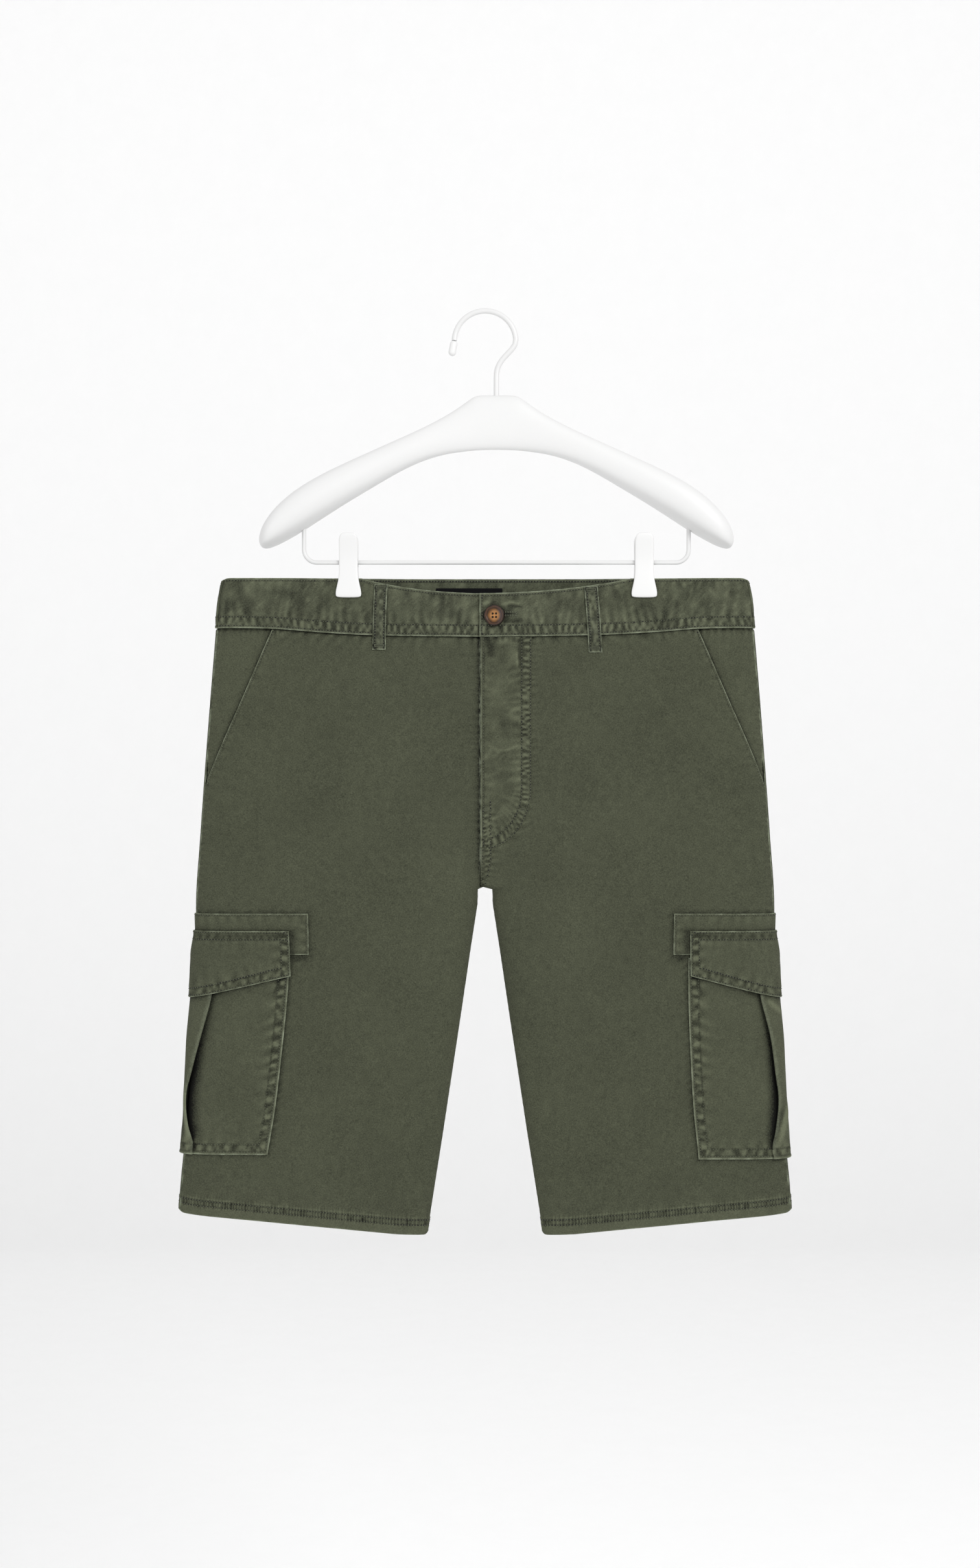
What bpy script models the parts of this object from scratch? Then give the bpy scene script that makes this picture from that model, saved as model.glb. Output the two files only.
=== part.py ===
"""Cargo shorts hanging from a clip hanger, modelled piece by piece as they are cut and sewn.

Frame: +Z up, the front of the shorts faces -Y, and the origin is on the inside of the hook's
bend, where a rail or peg carries the hanger. "right" and "left" are the wearer's, so right is -X.
Tables and sizes are in millimetres; meshes are written in metres.
"""

import math

import bmesh
import bpy
import numpy as np
from mathutils import Matrix

MM = 0.001
SEAM_GAP = 0.3  # clear space between two pieces that are sewn or laid together
HALF_GAP = SEAM_GAP / 2

# ---------------------------------------------------------------- driving sizes

CLOTH = 1.2  # wall of one layer of twill
BAND_OUT, BAND_IN = 1.0, -1.4  # the doubled waistband, measured from the cloth's outer face
HEM_OUT, HEM_IN = 0.5, -1.7  # the turned-up hem
HEM_DEPTH, HEM_STEP = 17.0, 1.5
SIDE_SEAM = 4.0  # the side seam lies this far in front of the side fold
CENTRE_SEAM_X = -4.4  # fly edge and front rise seam
BAND_EDGE_X = -5.2  # buttoned end of the waistband
BAND_UNDERLAP_X = 30.0  # the other end, which runs on underneath
BAND_FLAT_X = 225.0  # the waistband is flat from here to the middle
INSEAM_ROLL = 30.0  # width over which a leg turns round to its inseam
CROTCH_Z = -530.4
TURN_START_Z = -500.0
CROTCH_ARCH = 2.6  # height over which the rise seam opens into the gap between the legs

# One row for each level of the shorts: its height, half its width, how broad its rounded side
# fold is, and how far the front and back cloth stand from the middle plane.
SECTION_COLUMNS = ("z", "half_width", "edge", "front", "back")
SECTIONS = (
    (-240.0, 240.6, 9.0, 5.2, 5.0),
    (-252.0, 244.2, 9.5, 5.4, 5.2),
    (-266.0, 246.8, 11.0, 5.9, 5.6),
    (-294.0, 249.2, 15.0, 7.2, 6.9),
    (-340.0, 253.0, 24.0, 9.2, 8.8),
    (-400.0, 257.7, 32.0, 11.2, 10.8),
    (-484.0, 263.7, 38.0, 12.4, 12.2),
    (-545.0, 267.6, 40.0, 12.8, 12.8),
    (-580.0, 267.2, 40.0, 12.7, 12.7),
    (-620.0, 267.2, 40.0, 12.6, 12.6),
    (-694.0, 270.9, 40.0, 12.3, 12.3),
    (-736.0, 274.2, 40.0, 12.0, 12.0),
    (-776.0, 279.0, 39.5, 11.8, 11.8),
    (-806.0, 282.0, 39.0, 11.6, 11.6),
    (-860.0, 284.5, 38.0, 11.2, 11.2),
)

# Half the gap between the legs, from the crotch to the hems.
GAP_COLUMNS = ("z", "half_gap")
LEG_GAP = (
    (CROTCH_Z - CROTCH_ARCH, 6.7),
    (-546.6, 7.0),
    (-588.6, 13.5),
    (-651.6, 22.8),
    (-756.6, 38.7),
    (-860.0, 55.0),
)

# The hem is square to the leg, so its inner end hangs lower than its outer end.
HEM_OUTER_Z, HEM_INNER_Z = -831.0, -852.6

# The hanger's two clips close the waistband, and between them the front droops and gapes.
HANGER_X = 10.4
CLIP_SPREAD = 136.6
CLIP_X = {"right": HANGER_X - CLIP_SPREAD, "left": HANGER_X + CLIP_SPREAD}
CLIP_HALF_WIDTH = 12.0
PINCHED_DEPTH = 1.7
PINCH_WIDTH = 28.0
PINCH_TOP_Z, PINCH_END_Z = -266.0, -345.0
DROOP_X = -4.0
DROOP = 15.0
GAPE_COLUMNS = ("z", "gape")
GAPE = ((-240.0, 10.5), (-262.0, 10.0), (-300.0, 7.5), (-350.0, 3.0), (-420.0, 0.0), (-440.0, 0.0))

BACK_BAND_TOP_Z, BACK_BAND_LOW_Z = -245.4, -291.6
# Lower edge of the front waistband, which follows its droop.
FRONT_LOW_COLUMNS = ("x", "z")
FRONT_LOW = (
    (0.0, -300.4),
    (60.0, -299.6),
    (105.0, -298.2),
    (152.0, -295.6),
    (197.0, -292.4),
    (250.0, -291.6),
)

# Distances round from the side fold at which every piece that wraps it has a line of points, so
# that pieces laid over each other bend alike.
FOLD_STATIONS = (0.0, 2.0, 4.0, 7.0, 11.0, 16.0, 23.0, 33.0, 47.0, 64.0)

# Slanted mouth of the hip pocket, as distances round from the side fold.
MOUTH_TOP_W, MOUTH_END_Z = 54.5, -438.6
FACING_UNDERLAP_COLUMNS, FACING_END_Z = 5, -449.0
# The facing shows as far as these shares of the way to the mouth, then slips under the front.
FACING_COLUMNS = np.array((0, 0.25, 0.5, 0.75, 0.9))
FACING_SLIP_START, FACING_SLIP_END = 12.0, 4.0
FACING_SPREAD = 0.05  # each line of the facing's points lies this much further out than the front's

FLY_X, FLY_STRAIGHT_TOP_Z, FLY_STRAIGHT_END_Z, FLY_END_Z, FLY_ROUND = 42.6, -305.4, -440.0, -494.0, 56.0
FLY_CLOTH = 0.9

LOOP_WIDTH, LOOP_LENGTH, LOOP_CLOTH, LOOP_GAP = 12.5, 61.0, 1.1, 0.5
LOOP_BOW, LOOP_BOW_SHARE = 0.9, 0.76  # how far a loop bows out, and the share of it that does
LOOP_STEP = (7.0, 0.8)  # a loop steps down to the panel between these depths under the waistband
# Belt loops: the x of the upper and lower end, and whether the loop is on the front.
LOOP_COLUMNS = ("name", "top_x", "low_x", "front")
LOOPS = (
    ("belt_loop_front_right", -95.8, -97.8, True),
    ("belt_loop_front_left", 97.0, 101.6, True),
    ("belt_loop_back_right", -90.0, -90.0, False),
    ("belt_loop_back_left", 90.0, 90.0, False),
    ("belt_loop_back_centre", 0.0, 0.0, False),
)

LABEL_X = (-45.6, 15.9)
LABEL_Z = (-254.0, -272.0)
LABEL_THICK = 0.8

# Cargo pockets, one row a side: how far the patch, the flap and the bag reach round to the front.
POCKET_COLUMNS = ("side", "patch", "flap_top", "flap_low", "bag_top", "bag_low", "bag_low_z")
POCKETS = (
    ("right", 107.0, 89.2, 90.6, 89.6, 81.0, -776.4),
    ("left", 96.0, 81.0, 80.4, 82.2, 85.2, -780.6),
)
PATCH_TOP_Z, PATCH_LOW_Z = -554.8, -592.6
FLAP_TOP_Z, FLAP_FRONT_Z, FLAP_FOLD_Z = -570.6, -612.0, -633.0
BAG_TOP_Z = -595.4
POCKET_CLOTH, BAG_GAP = 1.0, 0.4
LAYER = POCKET_CLOTH + SEAM_GAP  # one layer of pocket cloth, and the clear space beside it
# The flap rises over the folded pleat between these distances round, and its free edge stands off.
FLAP_RISE_W, FLAP_LEVEL_W = 36.0, 27.0
FLAP_PLAY, FLAP_STAND, FLAP_STAND_DEPTH = 0.5, 0.6, 11.0
BAG_LOW = BAG_GAP + POCKET_CLOTH / 2  # lift of the middle of the bag's lowest layer
PLEAT_UNDER = {"front": 1.6, "back": 4.0}  # how near the side fold the pleat's hidden folds come
PLEAT_TUCK = 3.0  # least depth of that hidden fold under the pleat
PLEAT_TURN = 0.6  # the pleat's own fold starts this far inside its edge
# Where the pleat stands open, its lower layer rises by these shares of that, halfway and at its edge.
UNDER_RISE = {"halfway": 0.35, "edge": 0.9}
PLEAT_TOP_SHARES = (0.7, 0.4, 0.15)  # lines of points on top of the pleat, from its edge to the side
UNDER_STEPS = (3.2, 2.4, 1.6, 0.8)  # least distances of the last lines of points before the hidden fold
BAG_SWELL = 0.6  # how far the bag swells, for each millimetre that the pleat stands open
SWELL_RISE, SWELL_FALL = (2.0, 14.0), 26.0  # beside the pleat, and before the bag's edge
BAG_ROWS = (0.0, 0.14, 0.28, 0.42, 0.56, 0.7, 0.83, 0.93, 1.0)
# The box pleat on the side of the pocket bag: its width before the side fold on each leg and behind
# it on both, and how far it stands open.
PLEAT_COLUMNS = ("share", "right", "left", "behind", "lift")
PLEAT = (
    (0.00, 21.5, 20.0, 22.0, 0.0),
    (0.19, 19.7, 18.0, 20.0, 1.5),
    (0.38, 13.0, 11.7, 16.0, 3.1),
    (0.56, 6.7, 9.0, 12.5, 3.0),
    (0.72, 2.4, 7.9, 11.0, 2.1),
    (0.86, 6.5, 12.9, 13.0, 1.0),
    (0.95, 12.6, 17.2, 15.5, 0.3),
    (1.00, 12.9, 16.8, 15.8, 0.0),
)

BUTTON_X, BUTTON_Z, BUTTON_THICK = 8.5, -281.0, 3.4
BUTTON_TURN = math.radians(16)  # the button hangs turned to the wearer's right
BUTTON_STAND = 1.9  # clear space that the turned button needs behind its middle
BUTTON_HOLE_SPACING, BUTTON_HOLE_RADIUS, BUTTON_STEPS = 3.2, 1.05, 22
# Outline of the button from the middle of its face over the rim to the middle of its back.
BUTTON_COLUMNS = ("radius", "height")
BUTTON = (
    (0.0, 2.4),
    (6.0, 2.5),
    (7.3, 3.2),
    (8.1, BUTTON_THICK),
    (9.1, 2.9),
    (9.6, 2.0),
    (9.3, 0.9),
    (6.9, 0.15),
    (4.8, 0.0),
    (0.0, 0.0),
)

HOOK_WIRE, HOOK_BEND = 2.5, 28.5  # radius of the wire and of its bend, to the wire's centre
HOOK_CENTRE_Z = HOOK_WIRE - HOOK_BEND
# The wire's centre below the bend, as (x, z), where it sweeps back to stand over the hanger.
HOOK_NECK = (
    (27.6, -28.6),
    (25.0, -32.6),
    (21.4, -36.6),
    (17.6, -40.6),
    (14.4, -44.8),
    (12.0, -49.4),
    (10.8, -54.4),
    (10.4, -60.0),
)
HOOK_SOCKET = 25.0
SLEEVE_RADIUS, SLEEVE_LENGTH = 3.5, 14.0
BAR_WIRE, BAR_Z, BAR_CORNER, BAR_HALF, BAR_SOCKET_Z = 2.0, -230.6, 12.0, 178.0, -186.0
SOCKET_PLAY = 0.3
CUTTER_SIDES = 16

# The hanger's arm: distance out from its middle, upper edge, lower edge, half its thickness.
ARM_COLUMNS = ("out", "top", "low", "thick")
ARM = (
    (0.0, -75.6, -126.3, 7.5),
    (11.0, -75.6, -126.5, 7.5),
    (19.0, -75.8, -126.9, 7.6),
    (24.0, -79.2, -127.3, 7.7),
    (37.0, -88.8, -128.8, 8.2),
    (52.0, -97.8, -131.2, 9.0),
    (73.0, -108.4, -138.0, 10.6),
    (94.0, -117.8, -148.6, 12.8),
    (114.0, -126.9, -160.6, 15.2),
    (135.0, -136.4, -172.8, 18.0),
    (155.0, -145.8, -185.4, 20.6),
    (174.0, -156.2, -197.8, 22.8),
    (190.0, -167.0, -207.6, 23.8),
    (203.0, -179.0, -214.4, 22.8),
    (212.0, -190.0, -217.8, 19.0),
    (217.5, -200.0, -217.4, 12.0),
)
ARM_END = (219.6, -209.6)
ARM_SQUARENESS = 2.8
ARM_SIDES = 14

# Clip jaw, from the top down: height, half width, distance of its inner face from the bar's plane.
JAW_COLUMNS = ("z", "half_width", "stand")
JAW = (
    (-203.6, 4.6, 7.4),
    (-205.2, 7.0, 7.1),
    (-208.4, 8.5, 6.5),
    (-214.0, 8.8, 5.2),
    (-224.0, 8.7, 3.1),
    (-232.0, 8.7, 2.4),
    (-242.0, 8.7, 2.7),
    (-250.0, 10.0, 3.0),
    (-257.0, 11.9, 3.0),
    (-261.6, 12.0, 3.0),
    (-263.4, 10.6, 3.0),
)
JAW_THICK = 3.0

# Linear colour, roughness and metallic value of each finish.
FINISHES = {
    "olive_twill": ((0.078, 0.086, 0.052), 0.9, 0.0),
    "woven_label": ((0.008, 0.008, 0.009), 0.8, 0.0),
    "horn_button": ((0.20, 0.085, 0.022), 0.25, 0.0),
    "white_lacquer": ((0.86, 0.86, 0.85), 0.45, 0.0),
    "white_metal": ((0.84, 0.84, 0.84), 0.35, 0.0),
    "white_plastic": ((0.88, 0.88, 0.88), 0.4, 0.0),
}

SIDE_SIGN = {"right": -1.0, "left": 1.0}


# ---------------------------------------------------------------- tables and curves


def column(rows, columns, name):
    """One named column of a table, as an array."""
    return np.array([row[columns.index(name)] for row in rows], float)


def smooth(at, places, values):
    """Values on one smooth curve through a table's rows, at any places between them."""
    if places[0] > places[-1]:
        places, values = places[::-1], values[::-1]
    at = np.clip(np.asarray(at, float), places[0], places[-1])
    slopes = np.gradient(values, places)
    k = np.clip(np.searchsorted(places, at) - 1, 0, len(places) - 2)
    span = places[k + 1] - places[k]
    t = (at - places[k]) / span
    start = (1 + 2 * t) * (1 - t) ** 2 * values[k] + t * (1 - t) ** 2 * span * slopes[k]
    end = t * t * (3 - 2 * t) * values[k + 1] - t * t * (1 - t) * span * slopes[k + 1]
    return start + end


def ease(value, start, end):
    """0 before start, 1 after end, and a smooth step between."""
    t = np.clip((np.asarray(value, float) - start) / (end - start), 0, 1)
    return t * t * (3 - 2 * t)


def mix(a, b, share):
    return a + (b - a) * share


# ---------------------------------------------------------------- the shorts' outer face
#
# A place on the shorts is a side, a distance w round from the side fold (front +, back -) and a
# height z. skin() gives its point, and lifted() the same point moved out from the cloth.


def level(name, z):
    return smooth(z, column(SECTIONS, SECTION_COLUMNS, "z"), column(SECTIONS, SECTION_COLUMNS, name))


def droop_share(x):
    """0 at the clips, 1 where the front waistband droops most."""
    end = np.where(x < DROOP_X, CLIP_X["right"] + CLIP_HALF_WIDTH, CLIP_X["left"] - CLIP_HALF_WIDTH)
    return np.clip((x - DROOP_X) / (end - DROOP_X), 0, 1)


def cloth_depth(face, x, z):
    """How far the outer face stands from the middle plane, where the cloth lies flat."""
    depth = np.where(face > 0, level("front", z), level("back", z))
    gape = smooth(z, column(GAPE, GAPE_COLUMNS, "z"), column(GAPE, GAPE_COLUMNS, "gape"))
    depth = depth + np.where(face > 0, gape * (1 - droop_share(x) ** 2) ** 2, 0)
    held = ease(z, PINCH_END_Z, PINCH_TOP_Z)
    for clip_x in CLIP_X.values():
        beside = np.maximum(np.abs(x - clip_x) - CLIP_HALF_WIDTH - 1.0, 0)
        depth = mix(depth, PINCHED_DEPTH, held * np.exp(-((beside / PINCH_WIDTH) ** 2)))
    return depth


def rise_x(side, face):
    """Where a side's cloth ends above the crotch, as a distance out from the middle."""
    return np.where(face > 0, side * CENTRE_SEAM_X, 0.0) + HALF_GAP


def inner_edge(side, face, z):
    """Distance out from the middle of the rise seam or, lower down, of the inseam."""
    gap = np.interp(-z, -column(LEG_GAP, GAP_COLUMNS, "z"), column(LEG_GAP, GAP_COLUMNS, "half_gap"))
    opened = np.clip((CROTCH_Z - z) / CROTCH_ARCH, 0, 1)
    return mix(rise_x(side, face), gap, opened)


def inseam_turn(z):
    """0 where front and back stay apart at the middle, 1 where they meet at the inseam."""
    return np.clip((TURN_START_Z - z) / (TURN_START_Z - CROTCH_Z), 0, 1) ** 1.6


def fold_reach(z, face):
    """Chord of the rounded side fold, from the fold to where the cloth lies flat."""
    depth = np.where(face > 0, level("front", z), level("back", z))
    return np.hypot(level("edge", z), depth)


def round_distance(face, x, z):
    """The distance w, without its sign, of a place on the flat cloth at that x."""
    return fold_reach(z, face) + level("half_width", z) - level("edge", z) - np.abs(x)


def girth(side, face, z):
    """The distance round from the side fold to the rise seam or the inseam."""
    inner = inner_edge(side, face, z)
    return fold_reach(z, face) + level("half_width", z) - level("edge", z) - inner


def skin(side, w, z):
    """Points of the outer face, in millimetres, for arrays of places."""
    w, z = np.broadcast_arrays(np.asarray(w, float), np.asarray(z, float))
    face = np.where(w >= 0, 1.0, -1.0)
    reach = np.abs(w)
    edge, half = level("edge", z), level("half_width", z)
    depth = np.where(face > 0, level("front", z), level("back", z))
    chord = np.hypot(edge, depth)
    # On the fold the place is the end of a chord from the fold, on a quarter ellipse.
    c = np.minimum(reach, chord)
    squares = edge**2 - depth**2
    inside = np.maximum(edge**4 - squares * (edge**2 + depth**2 - c**2), 0)
    cosine = (edge**2 - np.sqrt(inside)) / squares
    sine = np.sqrt(np.clip(1 - cosine**2, 0, 1))
    out = half - edge * (1 - cosine) - np.maximum(reach - chord, 0)
    # Near the inseam the cloth turns round to meet the other face.
    turn = inseam_turn(z)
    total = girth(side, face, z)
    roll = np.clip((reach - (total - INSEAM_ROLL)) / INSEAM_ROLL, 0, 1) * (turn > 0)
    angle = roll * math.pi / 2
    rolled = INSEAM_ROLL * mix(1 - roll, 1 - np.sin(angle), turn)
    out = np.where(roll > 0, inner_edge(side, face, z) + rolled, out)
    left = 1 - turn * (1 - np.cos(angle))
    y = cloth_depth(face, side * out, z) * sine * left + HALF_GAP * (1 - left)
    return np.stack([side * out, -face * y, z], -1)


def outward(side, w, z):
    """Unit normals of the outer face, pointing out of the shorts."""
    w, z = np.broadcast_arrays(np.asarray(w, float), np.asarray(z, float))
    face = np.where(w >= 0, 1.0, -1.0)
    step = 0.2
    turning = inseam_turn(z) > 0
    total = girth(side, face, z)
    last = np.where(turning, total, np.inf)
    ahead = np.minimum(np.abs(w) + step, last) * face
    behind = np.where(np.abs(w) >= step, (np.abs(w) - step) * face, w - step * face)
    along = skin(side, ahead, z) - skin(side, behind, z)
    # Close to the inseam the height changes at a fixed distance from the inseam.
    shifts = turning & (np.abs(w) > total - INSEAM_ROLL)
    up, down = z + step, z - step
    w_up = np.where(shifts, face * (np.abs(w) + girth(side, face, up) - total), w)
    w_down = np.where(shifts, face * (np.abs(w) + girth(side, face, down) - total), w)
    rise = skin(side, w_up, up) - skin(side, w_down, down)
    normal = np.cross(rise, along) * (side * face)[..., None]
    return normal / np.linalg.norm(normal, axis=-1, keepdims=True)


def lifted(side, w, z, lift):
    """Points moved out from the outer face by lift, or in by a negative lift."""
    lift = np.broadcast_to(np.asarray(lift, float), np.broadcast_shapes(np.shape(w), np.shape(z)))
    return skin(side, w, z) + outward(side, w, z) * lift[..., None]


def lifted_at_x(face, x, z, lift):
    """The same, for flat cloth above the crotch, by its x."""
    x, z, lift = np.broadcast_arrays(x, z, lift)
    w = face * round_distance(face, x, z)
    on_left = lifted(1.0, w, z, lift)
    on_right = lifted(-1.0, w, z, lift)
    return np.where((x < 0)[..., None], on_right, on_left)


def front_band_top(x):
    return BACK_BAND_TOP_Z - DROOP * (1 - droop_share(x) ** 2)


def front_band_low(x):
    places, heights = (column(FRONT_LOW, FRONT_LOW_COLUMNS, name) for name in FRONT_LOW_COLUMNS)
    return smooth(np.abs(x), places, heights)


def hem_z(x):
    return np.interp(np.abs(x), (54.0, 284.0), (HEM_INNER_Z, HEM_OUTER_Z))


# ---------------------------------------------------------------- making objects


def material(name):
    colour, roughness, metallic = FINISHES[name]
    made = bpy.data.materials.new(name)
    made.use_nodes = True
    shader = made.node_tree.nodes["Principled BSDF"]
    shader.inputs["Base Color"].default_value = (*colour, 1.0)
    shader.inputs["Roughness"].default_value = roughness
    shader.inputs["Metallic"].default_value = metallic
    return made


def add_object(name, data, finish, collection):
    obj = bpy.data.objects.new(name, data)
    obj.data.materials.append(bpy.data.materials[finish])
    collection.objects.link(obj)
    return obj


def wall(name, outer, inner, finish, collection):
    """A closed wall between two grids of points, (rows, columns, 3), in millimetres."""
    rows, columns = outer.shape[:2]
    mesh = bmesh.new()
    bmesh.ops.create_grid(mesh, x_segments=columns - 1, y_segments=rows - 1, size=1.0)
    place = {
        v: (round((v.co.y + 1) / 2 * (rows - 1)), round((v.co.x + 1) / 2 * (columns - 1)))
        for v in mesh.verts
    }
    made = bmesh.ops.extrude_face_region(mesh, geom=mesh.faces[:], use_keep_orig=True)
    for v in [v for v in made["geom"] if isinstance(v, bmesh.types.BMVert)]:
        at = (round((v.co.y + 1) / 2 * (rows - 1)), round((v.co.x + 1) / 2 * (columns - 1)))
        v.co = inner[at] * MM
    for v, at in place.items():
        v.co = outer[at] * MM
    bmesh.ops.recalc_face_normals(mesh, faces=mesh.faces[:])
    data = bpy.data.meshes.new(name)
    mesh.to_mesh(data)
    mesh.free()
    obj = add_object(name, data, finish, collection)
    data.shade_smooth()
    data.set_sharp_from_angle(angle=math.radians(40))
    return obj


def tube(name, points, radius, finish, collection, sides=2):
    """A round wire through a list of points, in millimetres."""
    data = bpy.data.curves.new(name, "CURVE")
    data.dimensions = "3D"
    data.bevel_depth = radius * MM
    data.bevel_resolution = sides
    data.use_fill_caps = True
    spline = data.splines.new("POLY")
    spline.points.add(len(points) - 1)
    for point, at in zip(spline.points, points):
        point.co = (at[0] * MM, at[1] * MM, at[2] * MM, 1.0)
    return add_object(name, data, finish, collection)


def rod_cutter(name, radius, length, collection):
    """A hidden upright rod with its middle at the origin, to cut a hole with."""
    mesh = bmesh.new()
    size = {"radius1": radius * MM, "radius2": radius * MM, "depth": length * MM}
    bmesh.ops.create_cone(mesh, cap_ends=True, segments=CUTTER_SIDES, **size)
    data = bpy.data.meshes.new(name)
    mesh.to_mesh(data)
    mesh.free()
    obj = bpy.data.objects.new(name, data)
    obj.hide_render = True
    obj.display_type = "WIRE"
    collection.objects.link(obj)
    return obj


def cut(obj, cutter):
    boolean = obj.modifiers.new(cutter.name, "BOOLEAN")
    boolean.operation = "DIFFERENCE"
    boolean.object = cutter


# ---------------------------------------------------------------- panels

# Rows of a panel, as shares of the way down to the crotch, and from the crotch to the hem.
ROWS_ABOVE = np.array((0, 0.14, 0.3, 0.46, 0.62, 0.76, 0.87, 0.93, 0.97, 1))
ROWS_BELOW = np.array((0, 0.046, 0.18, 0.33, 0.48, 0.63, 0.8, 1))
# Columns of a panel: shares of the way across, then of the turn round to the inseam.
COLUMNS_ACROSS = np.array((0.2, 0.4, 0.6, 0.8, 1))
INSEAM_COLUMNS = np.array((0.38, 0.68, 0.9, 1))


def panel_heights(top, low):
    """Heights of a panel's rows, (rows, columns): closer together at the crotch and the hem."""
    crotch = (top[-1] - CROTCH_Z) / (top[-1] - low[-1])
    arch = crotch + CROTCH_ARCH / (top[-1] - low[-1])
    shares = [*ROWS_ABOVE * crotch, *mix(arch, 1.0, ROWS_BELOW)]
    body = [mix(top, low, share) for share in shares]
    return np.array([*body, low - HEM_STEP, low - HEM_DEPTH])


def panel_columns(fold, total):
    """Distances round from the side fold: the fold's own, evenly across, then close at the inseam."""
    across = mix(fold[-1], total - INSEAM_ROLL, COLUMNS_ACROSS)
    return np.array([*fold, *across, *(total - INSEAM_ROLL * (1 - INSEAM_COLUMNS))])


def mouth_w(z):
    """Where the slanted pocket mouth runs; below its end this is the side seam."""
    down = np.clip((BACK_BAND_LOW_Z - z) / (BACK_BAND_LOW_Z - MOUTH_END_Z), 0, 1)
    return mix(MOUTH_TOP_W, SIDE_SEAM, down)


def panel_grid(side, face):
    """Distances round and heights of a panel's points, (rows, columns)."""
    ahead = [s for s in FOLD_STATIONS if s > SIDE_SEAM]
    if face > 0:
        fold = [SIDE_SEAM + HALF_GAP, *ahead]
    else:
        fold = [HALF_GAP - SIDE_SEAM, -2.0, 0.0, 2.0, SIDE_SEAM, *ahead]
    waist = girth(side, face, BACK_BAND_LOW_Z)
    across = (panel_columns(fold, waist) - fold[0]) / (waist - fold[0])
    if face > 0:
        top = front_band_low(waist - mix(MOUTH_TOP_W, waist, across)) - SEAM_GAP
    else:
        top = np.full_like(across, BACK_BAND_LOW_Z - SEAM_GAP)
    low = hem_z(mix(284.0, 54.0, across)) + HEM_DEPTH
    z = panel_heights(top, low)
    w = np.empty_like(z)
    for row, number in np.ndindex(z.shape):
        total = float(girth(side, face, z[row, number]))
        start = fold[0]
        if face > 0:
            start = float(mouth_w(z[row, number])) + HALF_GAP
        share = (panel_columns(fold, total)[number] - fold[0]) / (total - fold[0])
        w[row, number] = mix(start, total, share)
    return w, z


def panel(name, side_name, face, collection):
    """A front or back panel, from the waist seam to the hem and from side seam to rise and inseam."""
    side = SIDE_SIGN[side_name]
    w, z = panel_grid(side, face)
    hemmed = np.zeros(z.shape, bool)
    hemmed[-2:] = True
    outer = lifted(side, w * face, z, np.where(hemmed, HEM_OUT, 0.0))
    inner = lifted(side, w * face, z, np.where(hemmed, HEM_IN, -CLOTH))
    return wall(name, outer, inner, "olive_twill", collection)


def hip_facing(name, side_name, collection):
    """The hip piece that shows beside the slanted pocket mouth, a layer below the front."""
    side = SIDE_SIGN[side_name]
    front_w, front_z = panel_grid(side, 1.0)
    rows = int(np.argmax(front_z[:, 0] < FACING_END_Z))
    z = np.array([front_z[0, 0] - SEAM_GAP, *front_z[1:rows, 0], FACING_END_Z])[:, None]
    start = SIDE_SEAM + HALF_GAP
    visible = mix(start, mouth_w(z) + HALF_GAP, FACING_COLUMNS)
    hidden = front_w[:rows + 1, :FACING_UNDERLAP_COLUMNS]
    w = np.concatenate([visible, hidden], 1)
    w[:, 1:] += np.arange(1, w.shape[1]) * FACING_SPREAD
    under = ease(w, mouth_w(z) - FACING_SLIP_START, mouth_w(z) - FACING_SLIP_END)
    outer = lifted(side, w, z, -(CLOTH + SEAM_GAP) * under)
    inner = lifted(side, w, z, -(CLOTH + SEAM_GAP) * under - CLOTH)
    return wall(name, outer, inner, "olive_twill", collection)


# ---------------------------------------------------------------- waistband, fly, loops, label


def front_band(name, side_name, collection):
    """One front half of the waistband. The right one runs on under the left one's buttoned end."""
    side = SIDE_SIGN[side_name]
    end_x = BAND_UNDERLAP_X if side < 0 else BAND_EDGE_X
    start = float(round_distance(1.0, 0.0, BACK_BAND_TOP_Z)) - SIDE_SEAM - HALF_GAP
    near_end = (-14.0, -6.8, BAND_UNDERLAP_X / 2, end_x) if side < 0 else (12.0, 4.0, end_x)
    near_fold = mix(start, BAND_FLAT_X, np.array((0, 0.2, 0.5)))
    x = np.array([*side * near_fold, *side * np.linspace(BAND_FLAT_X, 24.0, 13), *near_end])
    share = np.linspace(0, 1, 5)[:, None]
    z = mix(front_band_top(x), front_band_low(x), share)
    w = fold_reach(z, 1.0) + level("half_width", z) - level("edge", z) - side * x
    w[:, 0] = SIDE_SEAM + HALF_GAP
    under = ease(x, -24.0, -7.0) if side < 0 else np.zeros_like(x)
    shift = -under * (BAND_OUT - BAND_IN + SEAM_GAP)
    outer = lifted(side, w, z, BAND_OUT + shift)
    inner = lifted(side, w, z, BAND_IN + shift)
    return wall(name, outer, inner, "olive_twill", collection)


def back_band(name, collection):
    """The back of the waistband, one strip from side seam to side seam."""
    z = np.linspace(BACK_BAND_TOP_Z, BACK_BAND_LOW_Z, 5)[:, None]
    middle = round_distance(-1.0, 0.0, z)
    near_fold = (0, 0.012, 0.025, 0.045, 0.08)
    w = mix(SIDE_SEAM - HALF_GAP, -middle, np.array((*near_fold, *np.linspace(0.14, 1, 12))))
    halves = []
    for lift in (BAND_OUT, BAND_IN):
        right = lifted(-1.0, w, z, lift)
        left = lifted(1.0, w, z, lift)[:, ::-1]
        halves.append(np.concatenate([right, left[:, 1:]], 1))
    return wall(name, *halves, "olive_twill", collection)


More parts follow.
